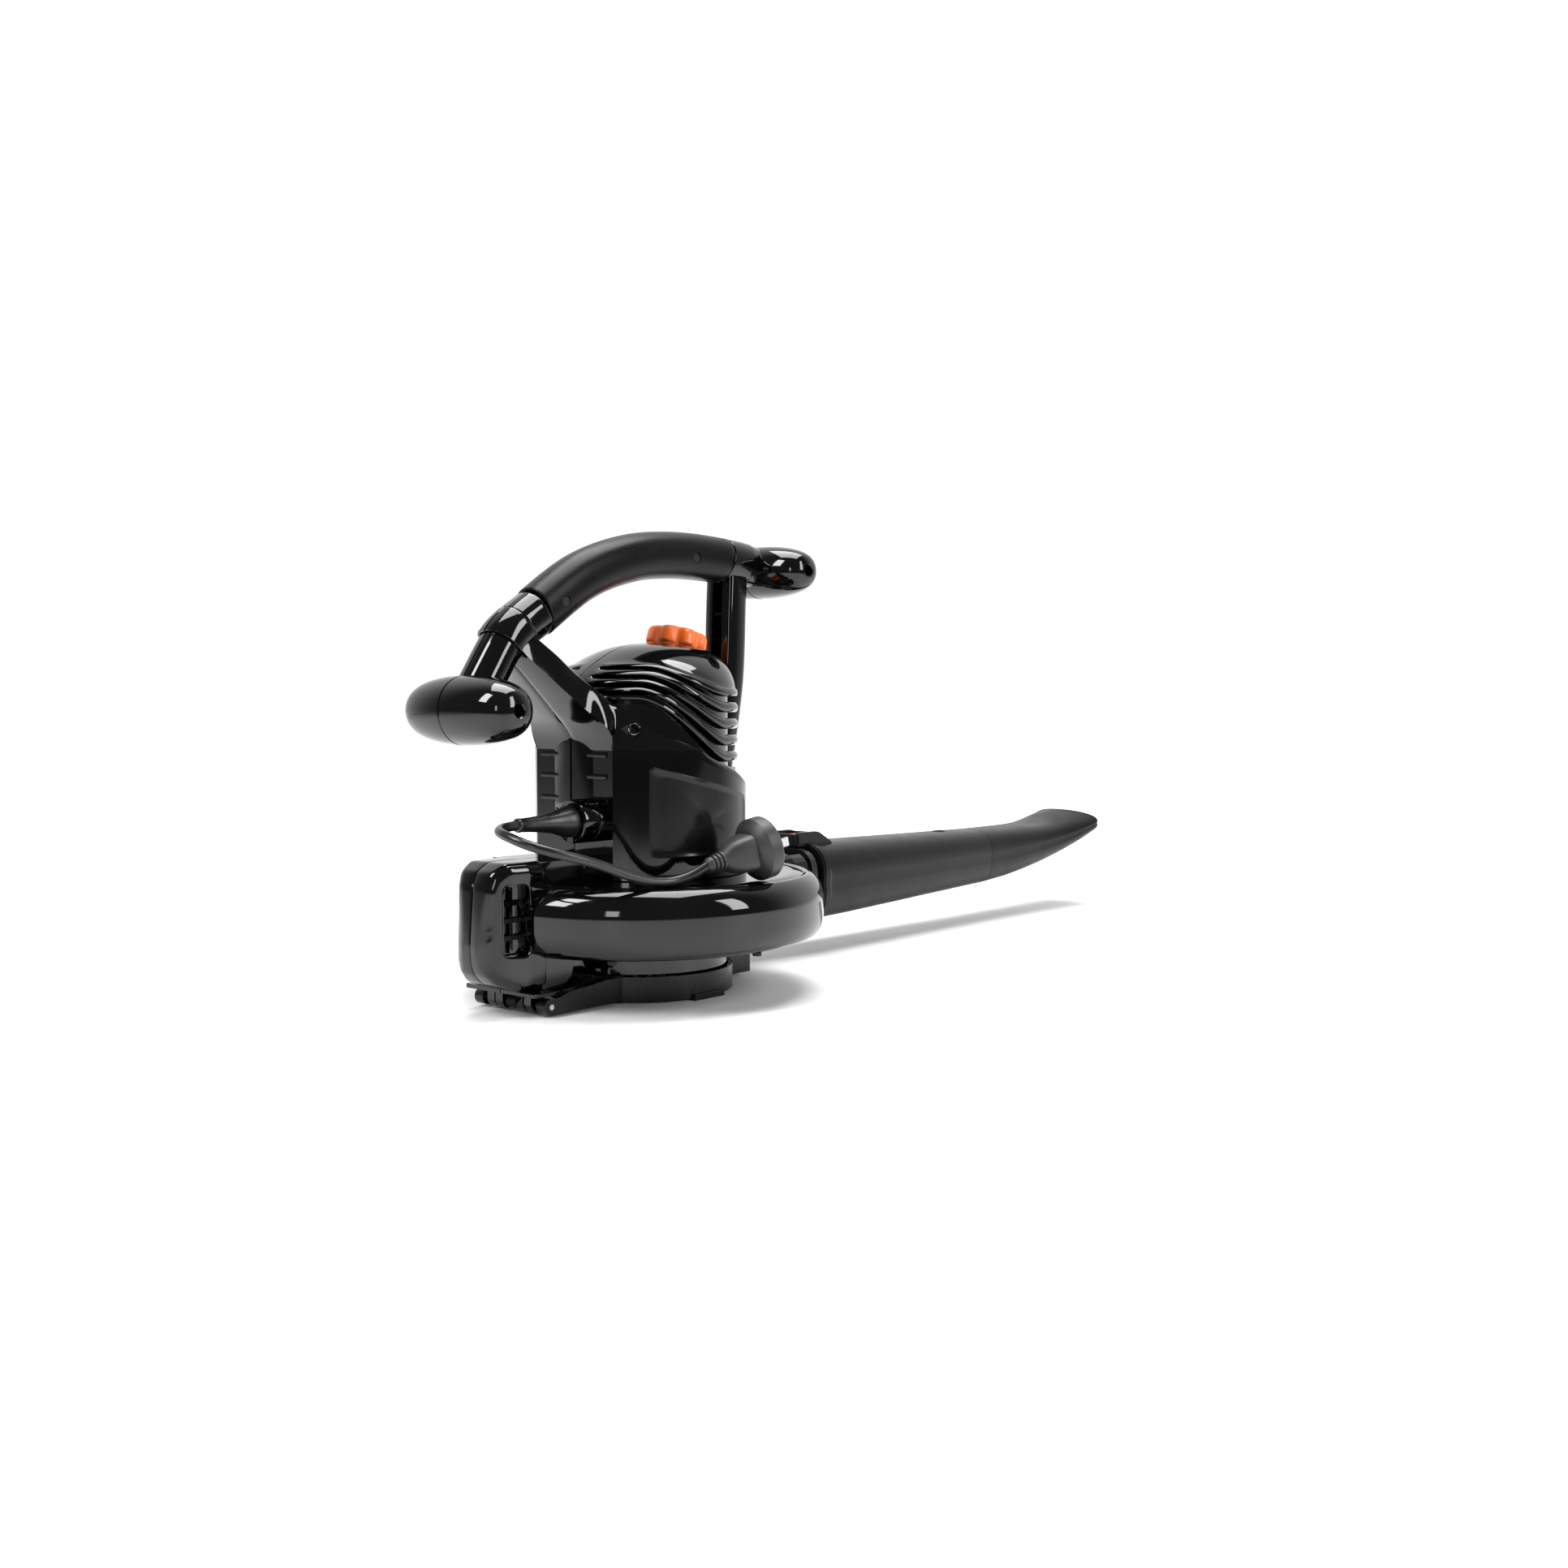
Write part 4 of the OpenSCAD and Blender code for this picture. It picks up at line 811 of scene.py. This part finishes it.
def root_ring(skin):
    """Raised ring round the tube's root."""
    profile = ((219, -1), (219, 1.3), (219.6, 1.9), (224.4, 1.9), (225, 1.3), (225, -1))
    skin.grid([duct_ring(x, 62, 36.4, 33.9, -lift) for x, lift in profile], closed=True)


def top_panel(skin, rings):
    """Recessed blank panel on top of the tube, framed by a low rim."""
    rows = []
    for grow, lift in PANEL_ROWS:
        row = []
        for x, y in PANEL_OUTLINE:
            x = PANEL_CENTRE[0] + (x - PANEL_CENTRE[0]) * (1 + grow / 70)
            y = PANEL_CENTRE[1] + (y - PANEL_CENTRE[1]) * (1 + grow / 32)
            middle, half_width, half_height = (np.interp(x, rings[:, 0], rings[:, k]) for k in (1, 2, 3))
            share = min(0.99, abs((y - TUBE_Y) / half_width))
            row.append((x, y, middle + half_height * (1 - share ** (1 / DUCT_POWER)) ** DUCT_POWER + lift))
        rows.append(row)
    skin.grid(rows, closed=True, ends=True)


def guard_box():
    """Box that guards the release button."""
    box = Skin()
    for low in (TUBE_Y - 17.5, TUBE_Y + 12):
        box.slab(GUARD_SIDE, low, low + 5.5)
    for outline in GUARD_CROSS:
        box.slab(outline, TUBE_Y - 12.5, TUBE_Y + 12.5)
    box.make("guard_box", "tube", "tube_plastic", bevel=0.8, edge=40)


def blower_tube():
    rings = through(TUBE_RINGS, 16)
    skin = Skin()
    tube_wall(skin, rings)
    root_ring(skin)
    top_panel(skin, rings)
    lug = []
    for rise, inset in ((-2, 0), (2.9, 0), (3.5, 0.6), (3.6, 1.6), (2.7, 2.4), (2.6, 4)):
        lug.append(ring((446, TUBE_Y, 90 + rise), (1, 0, 0), (0, 1, 0), 8 - inset, 5.5 - inset, steps=40))
    skin.grid(lug, closed=True, ends=True)
    skin.make("tube_shell", "tube", "tube_plastic", ["blower_tube"], edge=30)
    guard_box()


def bulge(x):
    """How the mouth leans at a distance along the nozzle: its upper middle is pulled back and up."""
    strength = smoothstep((x - 600) / 92)

    def lean(v, w):
        arch = 1 - min(1, abs(v)) ** 2
        up = max(0.0, w)
        return -20 * strength * up * arch + 2 * strength * up, 4.6 * strength * up * arch
    return lean


def nozzle_shell():
    """Flattening nozzle, with a spigot that fits in the tube, and a small lug at the mouth."""
    rings = through(NOZZLE_RINGS, 12)
    x, middle, half_width, half_height = rings[0]
    rows = [duct_ring(x - 28, middle - 0.4, half_width, half_height, inset) for inset in (5.2, 3.6, 3.1)]
    rows += [duct_ring(x, middle, half_width, half_height, inset) for inset in (3.1, 1.0)]
    for x, *size in rings:
        rows.append(duct_ring(x, *size, lean=bulge(x)))
    mouth, *size = rings[-1]
    rows += [duct_ring(mouth + 0.9, *size, inset, bulge(mouth)) for inset in (0.6, 1.9)]
    for x, *size in reversed(rings):
        rows.append(duct_ring(x, *size, 2.5, bulge(x)))
    skin = Skin().grid(rows, closed=True)
    skin.slab([(668, 68), (670, 66), (674, 66), (676, 68), (676, 72), (668, 71)], 27.5, 32.5)
    skin.make("nozzle_shell", "nozzle", "tube_plastic", ["nozzle"], edge=32)


def tube_button():
    """Square release button with a rounded top and three grip ribs."""
    rows = []
    for half, z in ((9.2, 101.2), (9.2, 102), (8.7, 103.1), (7.6, 103.7), (6.2, 103.4), (3.2, 103)):
        rows.append(ring((222, TUBE_Y, z), (1, 0, 0), (0, 1, 0), half, half, 0.45, 40))
    skin = Skin().grid(rows, closed=True, ends=True)
    for x in (217, 222, 227):
        skin.slab([(x - 0.8, 102.6), (x - 0.8, 104.1), (x + 0.8, 104.1), (x + 0.8, 102.6)], 25, 35)
    skin.make("button_cap", "button", "orange_plastic", ["tube_button"], edge=40)


# ---------------------------------------------------------------- cord, plug and cord entry
CORD_R = 3.5
CORD_ROUTE = [(-143, -20, 135), (-150, -20, 134.5), (-157, -22, 134), (-164, -27, 133), (-170, -36, 132),
              (-172, -47, 130), (-169, -59, 126), (-161, -69, 122), (-149, -76, 118), (-135, -80, 114),
              (-120, -83, 109), (-108, -86, 104), (-97, -89, 100), (-86, -92, 96.6), (-74, -95, 95),
              (-63, -98, 95.5), (-52, -103, 99), (-42, -108, 105)]
YAW, PITCH = math.radians(-12), math.radians(12)
PLUG_AXIS = np.array([math.cos(PITCH) * math.cos(YAW), math.cos(PITCH) * math.sin(YAW), math.sin(PITCH)])
COLLAR_PROFILE = [(2.4, 9.5), (0.4, 13), (0, 14.6), (0.6, 15.6), (1.6, 16), (14, 16), (14.4, 15.2),
                  (15, 15.2), (15.4, 16), (22, 16)]
RELIEF_PROFILE = [(0, 3.9), (0.4, 4.7), (1.2, 5.1), (2.6, 5.2), (3.2, 4.9), (10, 5.2), (18, 5.7), (26, 6.5),
                  (33, 7.6), (39, 9.1), (43, 10.4), (46, 11.1), (48, 11.4), (52, 11.4)]
PLUG_SECTIONS = [(12.5, 6.5, 6.5, 1.0), (14.5, 8.2, 8.6, 0.85), (19, 10.2, 11, 0.7), (26, 12, 12.8, 0.62),
                 (33, 13.4, 13.6, 0.6), (37, 14, 14, 0.6)]     # (distance, half sizes, squareness)
DISC_PROFILE = [(0, 8), (0, 15), (0.8, 17), (5, 21.8), (6.5, 23), (15.4, 23), (16.4, 22.4), (16.8, 21),
                (16.8, 17.5), (16.2, 17), (16.2, 0.4)]


def cord():
    """Cord along a smooth line through its route, in even steps."""
    curve = bpy.data.curves.new("mains_cord", "CURVE")
    curve.dimensions = "3D"
    curve.bevel_depth = CORD_R * MM
    curve.bevel_resolution = 6
    curve.use_fill_caps = True
    dense = through(CORD_ROUTE, 12)
    along = np.concatenate([[0], np.cumsum(np.linalg.norm(np.diff(dense, axis=0), axis=1))])
    spots = np.linspace(0, along[-1], 36)
    points = np.array([[np.interp(s, along, dense[:, k]) for k in range(3)] for s in spots]) * MM
    spline = curve.splines.new("POLY")
    spline.points.add(len(points) - 1)
    for p, q in zip(spline.points, points):
        p.co = (*q, 1)
    spline.use_smooth = True
    piece = bpy.data.objects.new("mains_cord", curve)
    bpy.context.scene.collection.objects.link(piece)
    curve.materials.append(LOOKS["cord_rubber"])
    length = float(np.sum(np.linalg.norm(np.diff(points, axis=0), axis=1)))
    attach(piece, "casing")
    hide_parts("cord")
    return piece, length, points


def cord_entry():
    """Collar in the housing, with a small key below it, and the tapering strain relief."""
    collar = Skin().lathe((-92.2, -20, 135), (1, 0, 0), COLLAR_PROFILE, steps=72)
    collar.slab([(-92.6, 119.5), (-92.6, 124), (-86, 124), (-86, 119.5)], -23, -17)
    collar.make("cord_collar_ring", "casing", "gloss_black", ["cord_collar"], edge=35)
    relief = Skin().lathe(CORD_ROUTE[0], (1, 0, 0), RELIEF_PROFILE)
    relief.make("cord_relief", "casing", "cord_rubber", ["strain_relief"], edge=35)


def plug():
    """Plug at the end of the cord: ribbed neck, body that turns square, and round disc."""
    start = np.array(CORD_ROUTE[-1], float)
    u = np.cross(PLUG_AXIS, (0, 0, 1))
    u /= np.linalg.norm(u)
    v = np.cross(u, PLUG_AXIS)
    neck = [(-1.5, 4.0), (0, 4.8)]
    for k in range(4):
        neck += [(1.5 + 3.2 * k + d, r + 0.5 * k) for d, r in ((0, 5.6), (1.6, 5.6), (2.0, 4.7), (2.8, 4.7))]
    body = Skin().lathe(start, PLUG_AXIS, neck, steps=48)
    rows = [ring(start + PLUG_AXIS * d, u, v, a, b, power, 72) for d, a, b, power in PLUG_SECTIONS]
    body.grid(rows, closed=True, ends=True)
    body.make("plug_grip", "casing", "plug_plastic", ["plug_body"], edge=35)
    disc = Skin().lathe(start + PLUG_AXIS * 36, PLUG_AXIS, DISC_PROFILE, steps=96)
    disc.make("plug_disc", "casing", "plug_plastic", ["plug_flange"], edge=30)


# ---------------------------------------------------------------- speed knob
KNOB_LOBES = 8
KNOB_STEPS = 192
KNOB_PROFILE = [(-1.8, 22.2, 1.4), (0.2, 22.6, 1.4), (0.8, 24.2, 3.0), (2, 25, 3.8), (9, 24.6, 3.8),
                (11.6, 23.8, 3.6), (13.2, 22.2, 3.0), (14, 20.4, 2.4), (14.1, 18.6, 1.0), (13.4, 17.8, 0),
                (13.3, 9, 0), (13.3, 0.4, 0)]      # (distance along the axis, radius, depth of the lobes)
BAR_LENGTH, BAR_WIDTH = 31, 3.2


def speed_knob():
    """Lobed dial on the tilted axis, with a raised bar across its top."""
    u = np.array([math.cos(KNOB_TILT), 0, -math.sin(KNOB_TILT)])
    v = np.array([0, 1, 0])
    rows = []
    for d, r, depth in KNOB_PROFILE:
        row = []
        for k in range(KNOB_STEPS):
            a = 2 * math.pi * k / KNOB_STEPS
            lobe = (0.5 + 0.5 * math.cos(KNOB_LOBES * a)) ** 1.6
            out = (u * math.cos(a) + v * math.sin(a)) * max(0.3, r - depth * lobe)
            row.append(KNOB_AT + KNOB_AXIS * d + out)
        rows.append(row)
    skin = Skin().grid(rows, closed=True, ends=True)
    bar = []
    for d, length, width in ((13, BAR_LENGTH, BAR_WIDTH), (14.6, BAR_LENGTH * 0.97, BAR_WIDTH * 0.7)):
        bar.append([KNOB_AT + KNOB_AXIS * d + (u * x * length + v * y * width) / 2 for x, y in CORNERS])
    skin.grid(bar, closed=True, ends=True)
    skin.make("knob_dial", "knob", "orange_plastic", ["speed_knob"], edge=30)


# ---------------------------------------------------------------- the pieces
for flipped in (False, True):
    screw_cups(flipped)
    housing_half(flipped)
    cap_half(flipped)
    handle_half(flipped)
    strut_half(flipped)
for flipped in (False, True):
    block_half(flipped)
casing_band()
label_panel()
blower_tube()
nozzle_shell()
tube_button()
cord_piece, cord_length, cord_points = cord()
cord_entry()
plug()
speed_knob()

# ---------------------------------------------------------------- floor and light
VIEW = (0.766, 0.643, 0.0)      # level direction from the camera to the backdrop
FLOOR_HALF = 6.0

floor_mesh = bpy.data.meshes.new("studio_floor")
floor_mesh.from_pydata([(x * FLOOR_HALF, y * FLOOR_HALF, 0) for x, y in CORNERS], [], [(0, 1, 2, 3)])
studio_floor = bpy.data.objects.new("studio_floor", floor_mesh)
bpy.context.scene.collection.objects.link(studio_floor)
floor_look = material("floor_look", (0.92, 0.92, 0.92), 0.6, tone=0.01, bump=0.02)
floor_mesh.materials.append(floor_look)


def along_view(nodes, links, output):
    """Distance or share along VIEW, from a texture coordinate."""
    dot = nodes.new("ShaderNodeVectorMath")
    dot.operation = "DOT_PRODUCT"
    dot.inputs[1].default_value = VIEW
    links.new(nodes.new("ShaderNodeTexCoord").outputs[output], dot.inputs[0])
    return dot.outputs["Value"]


def ramp(nodes, links, value, low, high, to_low, to_high):
    """Smooth step from one number to another as the value goes from low to high."""
    share = nodes.new("ShaderNodeMapRange")
    share.interpolation_type = "SMOOTHSTEP"
    share.inputs["From Min"].default_value = low
    share.inputs["From Max"].default_value = high
    share.inputs["To Min"].default_value = to_low
    share.inputs["To Max"].default_value = to_high
    links.new(value, share.inputs["Value"])
    return share.outputs["Result"]


def paint_floor_glow_and_shade():
    """Painted light and shade on the floor: it glows brighter into the backdrop behind the object, and its
    colour is painted dark grey behind the camera.
    """
    nodes, links = floor_look.node_tree.nodes, floor_look.node_tree.links
    along = along_view(nodes, links, "Object")
    shader = nodes["Principled BSDF"]
    # Painted light: emission that grows along the view, towards the backdrop
    shader.inputs["Emission Color"].default_value = (1, 1, 1, 1)
    links.new(ramp(nodes, links, along, 0.3, 2.4, 0, 0.75), shader.inputs["Emission Strength"])
    # Painted shade: the floor's colour turns dark grey behind the camera, so the gloss black reflects it
    # dark
    fade = nodes.new("ShaderNodeMix")
    fade.data_type = "RGBA"
    fade.inputs[6].default_value = (0.1, 0.1, 0.1, 1)
    links.new(ramp(nodes, links, along, -1.7, -0.95, 0, 1), fade.inputs[0])
    links.new(shader.inputs["Base Color"].links[0].from_socket, fade.inputs[7])
    links.new(fade.outputs[2], shader.inputs["Base Color"])


paint_floor_glow_and_shade()

world = bpy.data.worlds.new("studio")
bpy.context.scene.world = world
world.use_nodes = True


def studio_world():
    """White towards the backdrop, dim behind the camera, so gloss black stays deep."""
    nodes, links = world.node_tree.nodes, world.node_tree.links
    background = nodes["Background"]
    background.inputs["Color"].default_value = (1, 1, 1, 1)
    strength = ramp(nodes, links, along_view(nodes, links, "Generated"), -0.05, 0.62, 0.14, 1.06)
    links.new(strength, background.inputs["Strength"])


studio_world()


def soft_light(name, spot, target, width, height, power):
    """Rectangular light, aimed at a target."""
    data = bpy.data.lights.new(name, "AREA")
    data.shape = "RECTANGLE"
    data.size = width
    data.size_y = height
    data.energy = power
    lamp = bpy.data.objects.new(name, data)
    lamp.location = spot
    lamp.rotation_euler = (Vector(target) - Vector(spot)).to_track_quat("-Z", "Y").to_euler()
    bpy.context.scene.collection.objects.link(lamp)


soft_light("key", (-1.5, 0.3, 1.5), (0, 0, 0.15), 0.45, 1.1, 30)
soft_light("fill", (0.5, -1.7, 1.0), (0.1, 0, 0.15), 0.4, 1.2, 18)
soft_light("top", (0.3, 0.1, 2.1), (0.1, 0, 0.1), 1.5, 1.5, 66)
soft_light("low", (-1.7, -0.9, 0.5), (0, 0, 0.1), 0.25, 0.5, 3)
bpy.context.scene.view_settings.view_transform = "Standard"
